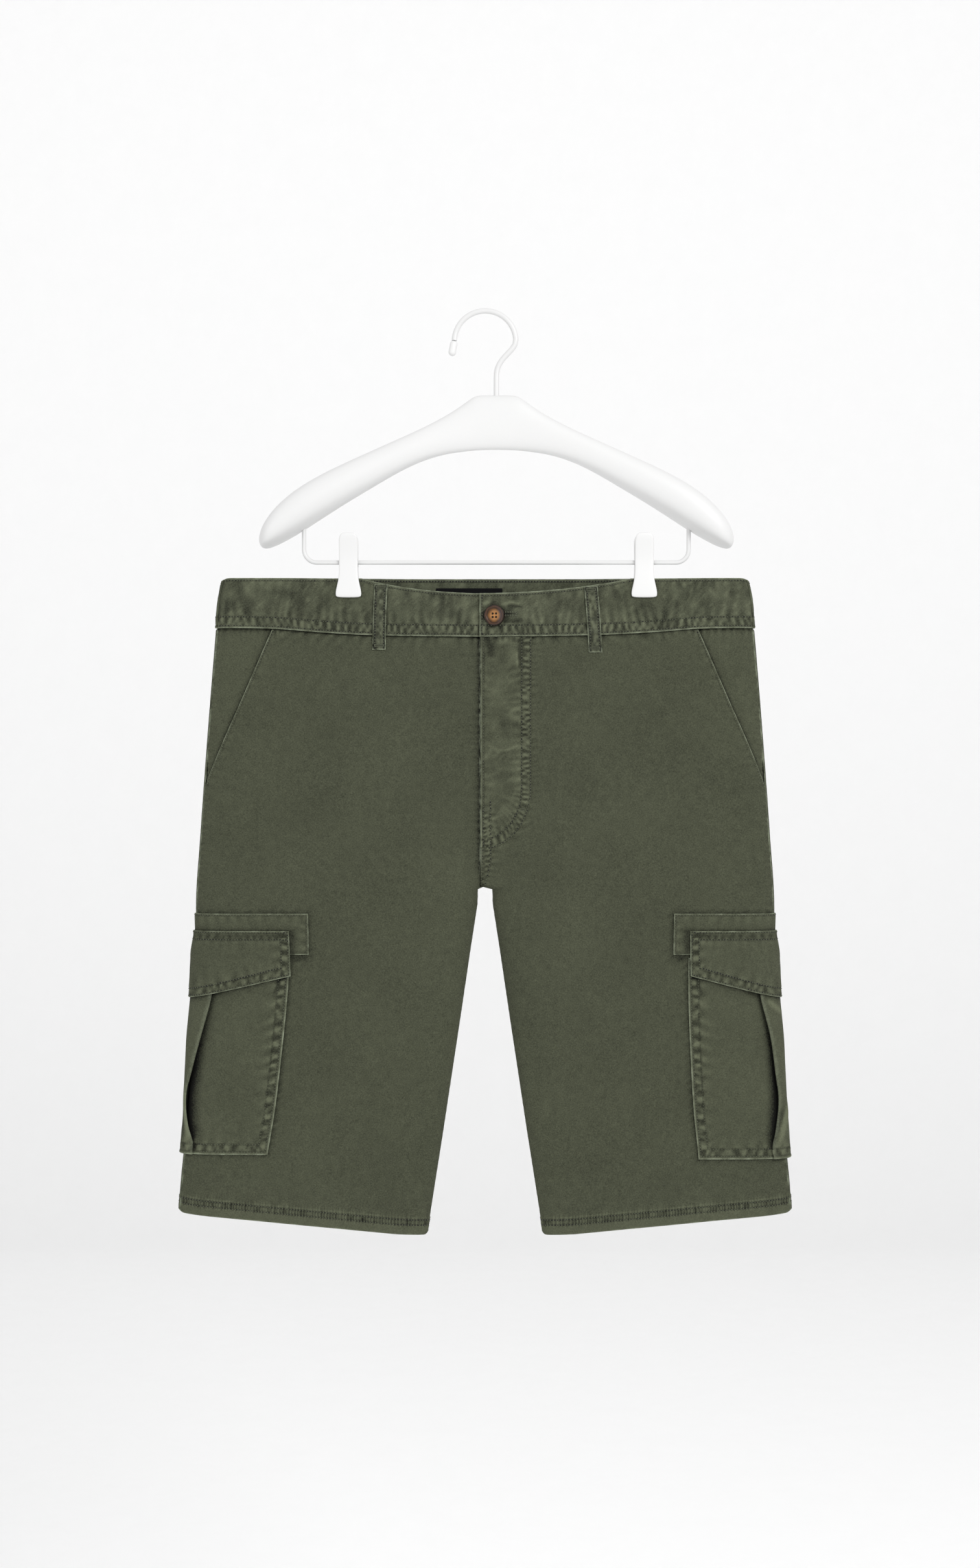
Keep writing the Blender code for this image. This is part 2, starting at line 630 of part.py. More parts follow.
def fly_placket(name, collection):
    """The doubled strip of the fly, straight down from the waistband and rounded in at its foot."""
    share = np.array((0, 0.12, 0.3, 0.5, 0.7, 1.0))
    straight = np.linspace(FLY_STRAIGHT_TOP_Z, FLY_STRAIGHT_END_Z, 8)
    rounded = mix(FLY_STRAIGHT_END_Z, FLY_END_Z, np.array((0.3, 0.56, 0.76, 0.9, 1)))
    z_edge = np.array([*straight, *rounded])
    below = np.clip((FLY_STRAIGHT_END_Z - z_edge) / FLY_ROUND, 0, 1)
    width = (FLY_X - CENTRE_SEAM_X) * np.sqrt(1 - below**2)
    x = CENTRE_SEAM_X + HALF_GAP + width[:, None] * share
    z = np.repeat(z_edge[:, None], len(share), 1)
    z[0] = front_band_low(x[0]) - SEAM_GAP
    w = fold_reach(z, 1.0) + level("half_width", z) - level("edge", z) - x
    outer = lifted(1.0, w, z, SEAM_GAP + FLY_CLOTH)
    inner = lifted(1.0, w, z, SEAM_GAP)
    return wall(name, outer, inner, "olive_twill", collection)


def belt_loop(name, top_x, low_x, front, collection):
    """A strap over the waistband, tacked to the cloth below it."""
    face = 1.0 if front else -1.0
    top = front_band_top(top_x) - 1.0 if front else BACK_BAND_TOP_Z - 1.0
    seam = front_band_low(top_x) if front else BACK_BAND_LOW_Z
    share = np.array((0, 0.08, 0.3, 0.55, 0.74, 0.8, 0.9, 1))[:, None]
    z = top - share * LOOP_LENGTH
    middle = mix(top_x, low_x, share)
    x = middle + np.array((-0.5, 0.0, 0.5)) * LOOP_WIDTH
    z = np.broadcast_to(z, x.shape)
    over_band = ease(z, seam - LOOP_STEP[0], seam - LOOP_STEP[1])
    bow = LOOP_BOW * np.sin(np.clip(share / LOOP_BOW_SHARE, 0, 1) * math.pi)
    lift = LOOP_GAP + BAND_OUT * over_band + bow
    outer = lifted_at_x(face, x, z, lift + LOOP_CLOTH)
    inner = lifted_at_x(face, x, z, lift)
    return wall(name, outer, inner, "olive_twill", collection)


def label(name, collection):
    """The plain woven label, sewn inside the back of the waistband."""
    x = np.linspace(*LABEL_X, 5)
    z = np.linspace(*LABEL_Z, 3)[:, None]
    lift = BAND_IN - SEAM_GAP
    outer = lifted_at_x(-1.0, x, z, lift)
    inner = lifted_at_x(-1.0, x, z, lift - LABEL_THICK)
    return wall(name, outer, inner, "woven_label", collection)


# ---------------------------------------------------------------- cargo pockets


def around_side(reach):
    """Distances round the side fold, from the back edge of a piece to its front edge."""
    front = [w for w in FOLD_STATIONS if w > 0] + [reach]
    return np.array([-w for w in front[::-1]] + [0.0] + front)


def cargo_patch(side_name, row, collection):
    """The stay that the flap is sewn to, wrapped round the side of the leg."""
    z = np.array((PATCH_TOP_Z, PATCH_LOW_Z))[:, None]
    w = around_side(row["patch"])
    side = SIDE_SIGN[side_name]
    outer = lifted(side, w, z, SEAM_GAP + POCKET_CLOTH)
    inner = lifted(side, w, z, SEAM_GAP)
    return wall(f"cargo_patch_{side_name}", outer, inner, "olive_twill", collection)


def fold_arc(w, low, high, direction):
    """Two points round a fold between a low and a high layer."""
    radius = (high - low) / 2
    turns = (math.radians(60), math.radians(120))
    return [(w + direction * radius * math.sin(a), (low + high) / 2 - radius * math.cos(a)) for a in turns]


def half_profile(where, reach, pleat, standing):
    """The bag's cloth from one edge to the side fold, as (distance round, lift) along its middle.

    It swells, dips and doubles back under the pleat, comes out to the pleat's fold and runs over it.
    """
    middle, high = BAG_LOW + LAYER, BAG_LOW + 2 * LAYER
    under = min(PLEAT_UNDER[where], pleat - PLEAT_TUCK)
    near_fold = [max(w, under + step) for w, step in zip(FOLD_STATIONS[3::-1], UNDER_STEPS)]
    half = [(reach, BAG_LOW)]
    for w in (*FOLD_STATIONS[:3:-1], *near_fold):
        swell = ease(w, pleat + SWELL_RISE[0], pleat + SWELL_RISE[1]) * ease(w, reach, reach - SWELL_FALL)
        half.append((w, BAG_LOW + BAG_SWELL * standing * float(swell)))
    half += fold_arc(under, BAG_LOW, middle, -1)
    half += [((under + pleat) / 2, middle + standing * UNDER_RISE["halfway"])]
    half += fold_arc(pleat - PLEAT_TURN, middle + standing * UNDER_RISE["edge"], high + standing, 1)
    half += [(pleat * share, high + standing) for share in PLEAT_TOP_SHARES]
    return half


def bag_profile(reach, front_pleat, back_pleat, standing):
    """The bag's cloth across the leg, from its front edge to its back edge."""
    front = half_profile("front", reach, front_pleat, standing)
    back = [(-w, lift) for w, lift in half_profile("back", reach, back_pleat, standing)]
    return np.array([*front, (0.0, BAG_LOW + 2 * LAYER + standing), *back[::-1]])


def cargo_bag(side_name, row, collection):
    """The pocket bag, with a box pleat down its middle that stands open between mouth and foot."""
    side = SIDE_SIGN[side_name]
    shares = column(PLEAT, PLEAT_COLUMNS, "share")
    inner_rows, outer_rows = [], []
    for share in BAG_ROWS:
        z = mix(BAG_TOP_Z, row["bag_low_z"], share)
        reach = mix(row["bag_top"], row["bag_low"], share)
        widths = [
            float(smooth(share, shares, column(PLEAT, PLEAT_COLUMNS, name)))
            for name in (side_name, "behind", "lift")
        ]
        path = bag_profile(reach, *widths)
        along = np.gradient(path, axis=0)
        across = np.stack([-along[:, 1], along[:, 0]], 1)
        across *= -POCKET_CLOTH / 2 / np.linalg.norm(across, axis=1, keepdims=True)
        for rows, edge in ((outer_rows, path + across), (inner_rows, path - across)):
            rows.append(lifted(side, edge[:, 0], np.full(len(edge), z), edge[:, 1]))
    outer, inner = np.array(outer_rows), np.array(inner_rows)
    return wall(f"cargo_bag_{side_name}", outer, inner, "olive_twill", collection)


def cargo_flap(side_name, row, collection):
    """The flap, sewn along its top, deepest at the side of the leg, lying over the pleated bag."""
    side = SIDE_SIGN[side_name]
    share = np.array((0, 0.2, 0.38, 0.52, 0.75, 1))[:, None]
    reach = mix(row["flap_top"], row["flap_low"], share)
    w = np.concatenate([around_side(float(r))[None] for r in reach[:, 0]])
    low = mix(FLAP_FOLD_Z, FLAP_FRONT_Z, np.abs(w) / reach)
    z = mix(FLAP_TOP_Z, low, share)
    over_pleat = ease(np.abs(w), FLAP_RISE_W, FLAP_LEVEL_W) * ease(z, FLAP_TOP_Z, BAG_TOP_Z)
    lift = BAG_GAP + LAYER + over_pleat * (2 * LAYER + FLAP_PLAY)
    lift = lift + FLAP_PLAY * ease(z, BAG_TOP_Z, BAG_TOP_Z - FLAP_STAND_DEPTH)
    lift = lift + FLAP_STAND * over_pleat * ease(z, BAG_TOP_Z - FLAP_STAND_DEPTH, FLAP_FOLD_Z)
    outer = lifted(side, w, z, lift + CLOTH)
    inner = lifted(side, w, z, lift)
    return wall(f"cargo_flap_{side_name}", outer, inner, "olive_twill", collection)


# ---------------------------------------------------------------- button


def button(name, collection, cutters):
    """A four-hole button with a raised rim, sewn to the band with its face to the front."""
    data = bpy.data.meshes.new(name)
    mesh = bmesh.new()
    verts = [mesh.verts.new((radius * MM, 0.0, height * MM)) for radius, height in BUTTON]
    for a, b in zip(verts, verts[1:]):
        mesh.edges.new((a, b))
    mesh.to_mesh(data)
    mesh.free()
    obj = add_object(name, data, "horn_button", collection)
    turned = obj.modifiers.new("turned", "SCREW")
    turned.steps = turned.render_steps = BUTTON_STEPS
    turned.use_merge_vertices = True
    turned.merge_threshold = 0.00005
    turned.use_smooth_shade = True
    radius = column(BUTTON, BUTTON_COLUMNS, "radius").max()
    clear = BAND_OUT + SEAM_GAP + BUTTON_STAND
    seat = lifted_at_x(1.0, BUTTON_X, BUTTON_Z, clear)
    above = lifted_at_x(1.0, BUTTON_X, BUTTON_Z + radius, clear)
    lean = math.radians(90) - math.atan2(above[1] - seat[1], radius)
    turn = Matrix.Rotation(-BUTTON_TURN, 4, "Z") @ Matrix.Rotation(lean, 4, "X")
    place = Matrix.Translation(seat * MM) @ turn
    obj.matrix_world = place
    half = BUTTON_HOLE_SPACING / 2
    for number, (dx, dz) in enumerate(((-half, -half), (half, -half), (half, half), (-half, half))):
        rod = rod_cutter(f"button_hole_{number}", BUTTON_HOLE_RADIUS, 4 * BUTTON_THICK, cutters)
        rod.matrix_world = place @ Matrix.Translation((dx * MM, dz * MM, 0.0))
        cut(obj, rod)
    return obj


# ---------------------------------------------------------------- hanger


def hook_route():
    """Centre of the hook's wire, from its tip over the bend and down into the hanger."""
    bend = [
        (HOOK_BEND * math.cos(a), 0.0, HOOK_CENTRE_Z + HOOK_BEND * math.sin(a))
        for a in np.radians(np.linspace(178, 4, 30))
    ]
    neck = [(x, 0.0, z) for x, z in HOOK_NECK]
    return [*bend, *neck, (HANGER_X, 0.0, ARM[0][1] - HOOK_SOCKET + 1.0)]


def hook_sleeve(name, collection):
    """The soft tip over the end of the hook."""
    mesh = bmesh.new()
    bmesh.ops.create_uvsphere(mesh, u_segments=12, v_segments=8, radius=SLEEVE_RADIUS * MM)
    straight = (SLEEVE_LENGTH / 2 - SLEEVE_RADIUS) * MM
    for v in mesh.verts:
        v.co.z += math.copysign(straight, v.co.z) if abs(v.co.z) > 1e-7 else -straight
    data = bpy.data.meshes.new(name)
    mesh.to_mesh(data)
    mesh.free()
    data.shade_smooth()
    obj = add_object(name, data, "white_plastic", collection)
    lean = math.radians(10)
    tip = np.array(hook_route()[0])
    away = SLEEVE_LENGTH / 2 + SEAM_GAP
    obj.location = [a * MM for a in (tip[0] - away * math.sin(lean), 0.0, tip[2] - away * math.cos(lean))]
    obj.rotation_euler = (0, lean, 0)
    return obj


def bar_route():
    """Centre of the trouser bar's wire: up into both arms, with round corners."""
    corner_z = BAR_Z + BAR_CORNER
    right = [(-BAR_HALF, BAR_SOCKET_Z), (-BAR_HALF, corner_z)]
    right += [
        (-BAR_HALF + BAR_CORNER * (1 - math.cos(a)), corner_z - BAR_CORNER * math.sin(a))
        for a in np.radians((18, 36, 54, 72, 90))
    ]
    left = [(-x, z) for x, z in right[::-1]]
    return [(HANGER_X + x, 0.0, z) for x, z in right + left]


def hanger_body(name, collection, cutters):
    """The broad-shouldered hanger: a closed skin through the sections of its two arms."""
    out = column(ARM, ARM_COLUMNS, "out")
    stations = np.concatenate([-out[:0:-1], out])
    mesh = bmesh.new()
    bmesh.ops.create_uvsphere(mesh, u_segments=ARM_SIDES, v_segments=len(stations) + 1, radius=1.0)
    for v in mesh.verts:
        latitude = math.acos(max(-1.0, min(1.0, v.co.z))) / math.pi * (len(stations) + 1)
        ring = round(latitude)
        if ring in (0, len(stations) + 1):
            v.co = (math.copysign(ARM_END[0], ring - 1) + HANGER_X, 0.0, ARM_END[1])
        else:
            at = stations[ring - 1]
            _, top, low, thick = ARM[int(np.argmin(np.abs(out - abs(at))))]
            turn = math.atan2(v.co.y, v.co.x)
            across = math.copysign(abs(math.cos(turn)) ** (2 / ARM_SQUARENESS), math.cos(turn))
            up = math.copysign(abs(math.sin(turn)) ** (2 / ARM_SQUARENESS), math.sin(turn))
            v.co = (at + HANGER_X, across * thick, (top + low) / 2 + up * (top - low) / 2)
        v.co *= MM
    bmesh.ops.recalc_face_normals(mesh, faces=mesh.faces[:])
    data = bpy.data.meshes.new(name)
    mesh.to_mesh(data)
    mesh.free()
    data.shade_smooth()
    obj = add_object(name, data, "white_lacquer", collection)
    sockets = (
        ("hook_socket", HOOK_WIRE, HANGER_X, ARM[0][1]),
        ("bar_socket_right", BAR_WIRE, HANGER_X - BAR_HALF, BAR_SOCKET_Z - HOOK_SOCKET),
        ("bar_socket_left", BAR_WIRE, HANGER_X + BAR_HALF, BAR_SOCKET_Z - HOOK_SOCKET),
    )
    for socket, wire, x, z in sockets:
        rod = rod_cutter(socket, wire + SOCKET_PLAY, 2 * (HOOK_SOCKET + SOCKET_PLAY), cutters)
        rod.location = (x * MM, 0.0, z * MM)
        cut(obj, rod)
    return obj


def clip_jaw(name, clip_x, face, collection):
    """One jaw of a clip: a lever above the bar, and a broad foot against the waistband."""
    z = column(JAW, JAW_COLUMNS, "z")[:, None]
    half = column(JAW, JAW_COLUMNS, "half_width")[:, None]
    stand = column(JAW, JAW_COLUMNS, "stand")[:, None]
    across = np.array((-1, -0.55, 0, 0.55, 1))
    x = clip_x + half * across
    crown = JAW_THICK * (1 - 0.28 * across**2)
    z = np.broadcast_to(z, x.shape)
    near = np.stack([x, -face * np.broadcast_to(stand, x.shape), z], -1)
    far = np.stack([x, -face * (stand + crown), z], -1)
    return wall(name, far, near, "white_plastic", collection)


# ---------------------------------------------------------------- the whole


def clear_scene():
    for obj in list(bpy.data.objects):
        bpy.data.objects.remove(obj, do_unlink=True)


def new_collection(name):
    made = bpy.data.collections.new(name)
    bpy.context.scene.collection.children.link(made)
    return made


def build():
    clear_scene()
    parts = new_collection("cargo_shorts_on_hanger")
    cutters = new_collection("cutters")
    for finish in FINISHES:
        material(finish)
    for side_name in SIDE_SIGN:
        panel(f"front_{side_name}", side_name, 1.0, parts)
        panel(f"back_{side_name}", side_name, -1.0, parts)
        hip_facing(f"hip_facing_{side_name}", side_name, parts)
        front_band(f"waistband_front_{side_name}", side_name, parts)
    back_band("waistband_back", parts)
    fly_placket("fly_placket", parts)
    label("label", parts)
    for name, top_x, low_x, front in LOOPS:
        belt_loop(name, top_x, low_x, front, parts)
    for row in POCKETS:
        sizes = dict(zip(POCKET_COLUMNS, row))
        cargo_patch(sizes["side"], sizes, parts)
        cargo_bag(sizes["side"], sizes, parts)
        cargo_flap(sizes["side"], sizes, parts)
    button("button", parts, cutters)
    hanger_body("hanger_body", parts, cutters)
    tube("hanger_hook", hook_route(), HOOK_WIRE, "white_metal", parts)
    hook_sleeve("hook_sleeve", parts)
    tube("trouser_bar", bar_route(), BAR_WIRE, "white_metal", parts)
    for side_name, clip_x in CLIP_X.items():
        clip_jaw(f"clip_front_{side_name}", clip_x, 1.0, parts)
        clip_jaw(f"clip_back_{side_name}", clip_x, -1.0, parts)


build()
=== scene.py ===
"""Olive cargo shorts in the clips of a white hanger: their cloth, sewing and finishes.

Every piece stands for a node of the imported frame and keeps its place: +Z up, the front faces -Y,
the origin is inside the bend of the hook. "right" and "left" are the wearer's, so right is -X.
Sizes below are in millimetres unless a property gives its own unit; meshes are in metres.
"""

import math
from functools import reduce

import bmesh
import bpy
import numpy as np
from bpy.props import FloatProperty, FloatVectorProperty, PointerProperty
from mathutils import Matrix, Vector


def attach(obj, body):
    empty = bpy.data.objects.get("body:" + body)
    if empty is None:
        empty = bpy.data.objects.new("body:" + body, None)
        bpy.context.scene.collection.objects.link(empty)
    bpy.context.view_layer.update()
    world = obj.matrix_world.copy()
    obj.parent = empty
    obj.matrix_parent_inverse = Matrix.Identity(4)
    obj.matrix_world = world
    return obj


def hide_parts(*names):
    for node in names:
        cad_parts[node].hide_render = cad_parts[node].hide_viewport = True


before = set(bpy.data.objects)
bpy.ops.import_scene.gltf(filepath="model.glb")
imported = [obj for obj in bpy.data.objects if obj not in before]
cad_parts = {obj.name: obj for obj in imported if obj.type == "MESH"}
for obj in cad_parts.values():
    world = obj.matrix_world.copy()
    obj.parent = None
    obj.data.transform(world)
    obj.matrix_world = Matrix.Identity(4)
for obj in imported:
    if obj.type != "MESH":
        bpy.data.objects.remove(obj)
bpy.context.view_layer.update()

bl_info = {
    "name": "Cargo shorts on a clip hanger",
    "version": (1, 0, 0),
    "blender": (4, 5, 0),
    "location": "3D View > Sidebar > Shorts",
    "description": "Cloth, sewing, hanger and stage of a pair of cargo shorts",
    "category": "Add Mesh",
}

MM = 0.001
SEAM_GAP = 0.3
HALF_GAP = SEAM_GAP / 2
SIDES = {"right": -1.0, "left": 1.0}
FACES = {"front": 1.0, "back": -1.0}

# ---------------------------------------------------------------- the cut of the shorts

CLOTH = 1.2
BAND_OUT, BAND_IN = 1.0, -1.4
HEM_OUT, HEM_IN = 0.5, -1.7
HEM_DEPTH, HEM_STEP = 17.0, 1.5
SIDE_SEAM = 4.0
CENTRE_SEAM_X, BAND_EDGE_X, BAND_UNDERLAP_X = -4.4, -5.2, 30.0
# Where the waistband's right end steps down under the left one, and the left front stops doing so.
UNDERLAP_STEP, DOUBLED_STEP = (-24.0, -7.0), (36.0, 31.0)
INSEAM_ROLL = 30.0
CROTCH_Z, TURN_START_Z, CROTCH_ARCH = -530.4, -500.0, 2.6

# Level of the shorts: height, half the width, breadth of the side fold, depth of front and back.
SECTION_COLUMNS = ("z", "half_width", "edge", "front", "back")
SECTIONS = (
    (-240.0, 240.6, 9.0, 5.2, 5.0),
    (-252.0, 244.2, 9.5, 5.4, 5.2),
    (-266.0, 246.8, 11.0, 5.9, 5.6),
    (-294.0, 249.2, 15.0, 7.2, 6.9),
    (-340.0, 253.0, 24.0, 9.2, 8.8),
    (-400.0, 257.7, 32.0, 11.2, 10.8),
    (-484.0, 263.7, 38.0, 12.4, 12.2),
    (-545.0, 267.6, 40.0, 12.8, 12.8),
    (-580.0, 267.2, 40.0, 12.7, 12.7),
    (-620.0, 267.2, 40.0, 12.6, 12.6),
    (-694.0, 270.9, 40.0, 12.3, 12.3),
    (-736.0, 274.2, 40.0, 12.0, 12.0),
    (-776.0, 279.0, 39.5, 11.8, 11.8),
    (-806.0, 282.0, 39.0, 11.6, 11.6),
    (-860.0, 284.5, 38.0, 11.2, 11.2),
)
LEG_GAP = (
    (CROTCH_Z - CROTCH_ARCH, 6.7),
    (-546.6, 7.0),
    (-588.6, 13.5),
    (-651.6, 22.8),
    (-756.6, 38.7),
    (-860.0, 55.0),
)
HEM_OUTER_X, HEM_OUTER_Z = 284.0, -831.0
HEM_INNER_X, HEM_INNER_Z = 54.0, -852.6
# How far the corners of hem and waistband are rounded off, how near them and over what height.
HEM_CORNER, BAND_CORNER, CORNER_ROUND, CORNER_HEIGHT = 3.0, 2.6, 4.5, 16.0
HANGER_X, CLIP_SPREAD, CLIP_HALF_WIDTH = 10.4, 136.6, 12.0
CLIP_X = {"right": HANGER_X - CLIP_SPREAD, "left": HANGER_X + CLIP_SPREAD}
PINCHED_DEPTH, PINCH_WIDTH, PINCH_TOP_Z, PINCH_END_Z = 1.7, 28.0, -266.0, -345.0
DROOP_X, DROOP = -4.0, 15.0
# How far the front stands open between the clips, as (z, depth).
GAPE = (
    (-240.0, 10.5),
    (-262.0, 10.0),
    (-300.0, 7.5),
    (-350.0, 3.0),
    (-420.0, 0.0),
    (-440.0, 0.0),
)
BACK_BAND_TOP_Z, BACK_BAND_LOW_Z = -245.4, -291.6
BAND_SLIP_X = 195.0  # past this the waistband's threads lean outwards with the side fold
FRONT_LOW = (
    (0.0, -300.4),
    (60.0, -299.6),
    (105.0, -298.2),
    (152.0, -295.6),
    (197.0, -292.4),
    (250.0, -291.6),
)
MOUTH_TOP_W, MOUTH_END_Z, FACING_END_Z, FACING_UNDERLAP = 54.5, -438.6, -449.0, 13.0
FLY_X, FLY_STRAIGHT_END_Z, FLY_END_Z, FLY_ROUND = 42.6, -440.0, -494.0, 56.0
LOOP_WIDTH, LOOP_LENGTH, LOOP_CLOTH, LOOP_GAP = 12.5, 61.0, 1.1, 0.5
LOOP_TACKS = (3.0, LOOP_LENGTH - 4.0)  # how far below a loop's top its tacks lie
LOOP_LINE = 2.2  # stitches from a loop's edge
# Belt loops: x of the upper end and of the lower end, and the face that they lie on.
LOOPS = (
    ("belt_loop_front_right", -95.8, -97.8, 1.0),
    ("belt_loop_front_left", 97.0, 101.6, 1.0),
    ("belt_loop_back_right", -90.0, -90.0, -1.0),
    ("belt_loop_back_left", 90.0, 90.0, -1.0),
    ("belt_loop_back_centre", 0.0, 0.0, -1.0),
)
LABEL_X, LABEL_Z, LABEL_THICK = (-45.6, 15.9), (-254.0, -272.0), 0.8
LABEL_RIB = 0.6 * MM

POCKET_COLUMNS = ("side", "patch", "flap_top", "flap_low", "bag_top", "bag_low", "bag_low_z")
POCKETS = (
    ("right", 107.0, 89.2, 90.6, 89.6, 81.0, -776.4),
    ("left", 96.0, 81.0, 80.4, 82.2, 85.2, -780.6),
)
PATCH_TOP_Z, PATCH_LOW_Z = -554.8, -592.6
FLAP_TOP_Z, FLAP_FRONT_Z, FLAP_FOLD_Z = -570.6, -612.0, -633.0
BAG_TOP_Z = -595.4
POCKET_CLOTH, BAG_GAP = 1.0, 0.4
LAYER = POCKET_CLOTH + SEAM_GAP  # one layer of pocket cloth, and the clear space beside it
BAG_LOW = BAG_GAP + POCKET_CLOTH / 2  # lift of the middle of the bag's lowest layer
FLAP_RISE_W, FLAP_LEVEL_W = 36.0, 27.0
FLAP_PLAY, FLAP_STAND, FLAP_STAND_DEPTH = 0.5, 0.6, 11.0
PLEAT_UNDER, PLEAT_TUCK, PLEAT_TURN = {"front": 1.6, "back": 4.0}, 3.0, 0.6
BAG_SWELL, SWELL_RISE, SWELL_FALL = 0.6, (2.0, 14.0), 26.0
# The box pleat: its width before the side fold on each leg and behind it on both, and how far it
# stands open.
PLEAT_COLUMNS = ("share", "right", "left", "behind", "lift")
PLEAT = (
    (0.00, 21.5, 20.0, 22.0, 0.0),
    (0.19, 19.7, 18.0, 20.0, 1.5),
    (0.38, 13.0, 11.7, 16.0, 3.1),
    (0.56, 6.7, 9.0, 12.5, 3.0),
    (0.72, 2.4, 7.9, 11.0, 2.1),
    (0.86, 6.5, 12.9, 13.0, 1.0),
    (0.95, 12.6, 17.2, 15.5, 0.3),
    (1.00, 12.9, 16.8, 15.8, 0.0),
)
BUTTON_X, BUTTON_Z, BUTTON_RADIUS, BUTTON_THICK = 8.5, -281.0, 9.6, 3.4
BUTTON_TURN, BUTTON_STAND = math.radians(16), 1.9  # it hangs turned, and clears the cloth by this much
HOLE_SPACING, HOLE_RADIUS = 3.2, 1.05
BUTTONHOLE_END_X, BUTTONHOLE_Z = 28.6, -279.4

# ---------------------------------------------------------------- the hanger

HOOK_WIRE, HOOK_BEND = 2.5, 28.5  # radius of the wire and of its bend, to the wire's centre
HOOK_CENTRE_Z = HOOK_WIRE - HOOK_BEND
# The wire's centre below the bend, as (x, z).
HOOK_NECK = (
    (27.6, -28.6),
    (25.0, -32.6),
    (21.4, -36.6),
    (17.6, -40.6),
    (14.4, -44.8),
    (12.0, -49.4),
    (10.8, -54.4),
    (10.4, -60.0),
)
HOOK_SOCKET = 25.0
SLEEVE_RADIUS, SLEEVE_LENGTH = 3.5, 14.0
BAR_WIRE, BAR_Z, BAR_CORNER, BAR_HALF, BAR_SOCKET_Z = 2.0, -230.6, 12.0, 178.0, -186.0

# The hanger's arm: distance out from its middle, upper edge, lower edge, half its thickness.
ARM = (
    (0.0, -75.6, -126.3, 7.5),
    (11.0, -75.6, -126.5, 7.5),
    (19.0, -75.8, -126.9, 7.6),
    (24.0, -79.2, -127.3, 7.7),
    (37.0, -88.8, -128.8, 8.2),
    (52.0, -97.8, -131.2, 9.0),
    (73.0, -108.4, -138.0, 10.6),
    (94.0, -117.8, -148.6, 12.8),
    (114.0, -126.9, -160.6, 15.2),
    (135.0, -136.4, -172.8, 18.0),
    (155.0, -145.8, -185.4, 20.6),
    (174.0, -156.2, -197.8, 22.8),
    (190.0, -167.0, -207.6, 23.8),
    (203.0, -179.0, -214.4, 22.8),
    (212.0, -190.0, -217.8, 19.0),
    (217.5, -200.0, -217.4, 12.0),
    (219.6, -208.1, -211.1, 3.0),
)
ARM_CORNER = 34

# Clip jaw, from the top down: height, half width, how far its inner face stands from the bar's
# plane, and its thickness as a share of the full one.
JAW = (
    (-203.6, 4.6, 7.4, 0.6),
    (-205.2, 7.0, 7.1, 0.9),
    (-208.4, 8.5, 6.5, 1.0),
    (-214.0, 8.8, 5.2, 1.0),
    (-224.0, 8.7, 3.1, 1.0),
    (-232.0, 8.7, 2.4, 1.0),
    (-242.0, 8.7, 2.7, 1.0),
    (-250.0, 10.0, 3.0, 1.0),
    (-257.0, 11.9, 3.0, 1.0),
    (-261.6, 12.0, 3.0, 0.95),
    (-263.4, 10.6, 3.0, 0.7),
)
JAW_THICK, JAW_CORNER = 3.0, 22

# ---------------------------------------------------------------- sewing

EDGE_LINE = 1.5  # first row of stitches from a pocket's edge
FLAP_LINES = (EDGE_LINE, 8.0)
BAG_LINES = (2.6, 9.4)
BAND_LINES = (2.0, 10.3)
BAND_TOP_LINE = 2.4
MOUTH_LINE = 1.8
HEM_LINES = (9.0, 13.8)
HEM_ROPE = 15.6
RISE_LINES = (2.0, 9.2)
FLY_LINES = (0.9, 9.0)
FLY_EDGE_LINE = 2.6
FLY_TACK_Z = -459.2
GROOVE_WIDTH, GROOVE_DEPTH = 0.75, 0.23
TACK_TONE, TACK_RISE = 0.7, 0.08  # close tacks catch more light than single stitches
# Distances from ripple to ripple along the seams of each place.
BAND_RIPPLES, FLY_RIPPLES, RISE_RIPPLES, HEM_RIPPLES = 6.2, 5.5, 4.2, 14.0
FLAP_RIPPLES, BAG_RIPPLES, BAG_FINE_RIPPLES = 7.5, 9.6, 4.3
RIPPLE_LEAN = 0.32
TONE_RELIEF = 0.42  # a ridge of this height has the palest cloth
TONE_LOWEST = -0.62  # the tone of the deepest hollows
# A panel runs on up under the waistband this far, sunk and thinned.
UNDER_BAND, UNDER_BAND_SINK, UNDER_BAND_CLOTH = 3.0, 1.9, 0.6
CONTACT = 1.8  # the painted shadow beside an edge that lies on the cloth fades over this distance
PANEL_SHADE = 0.1  # the panels wore less than the doubled pieces, so they are this much darker

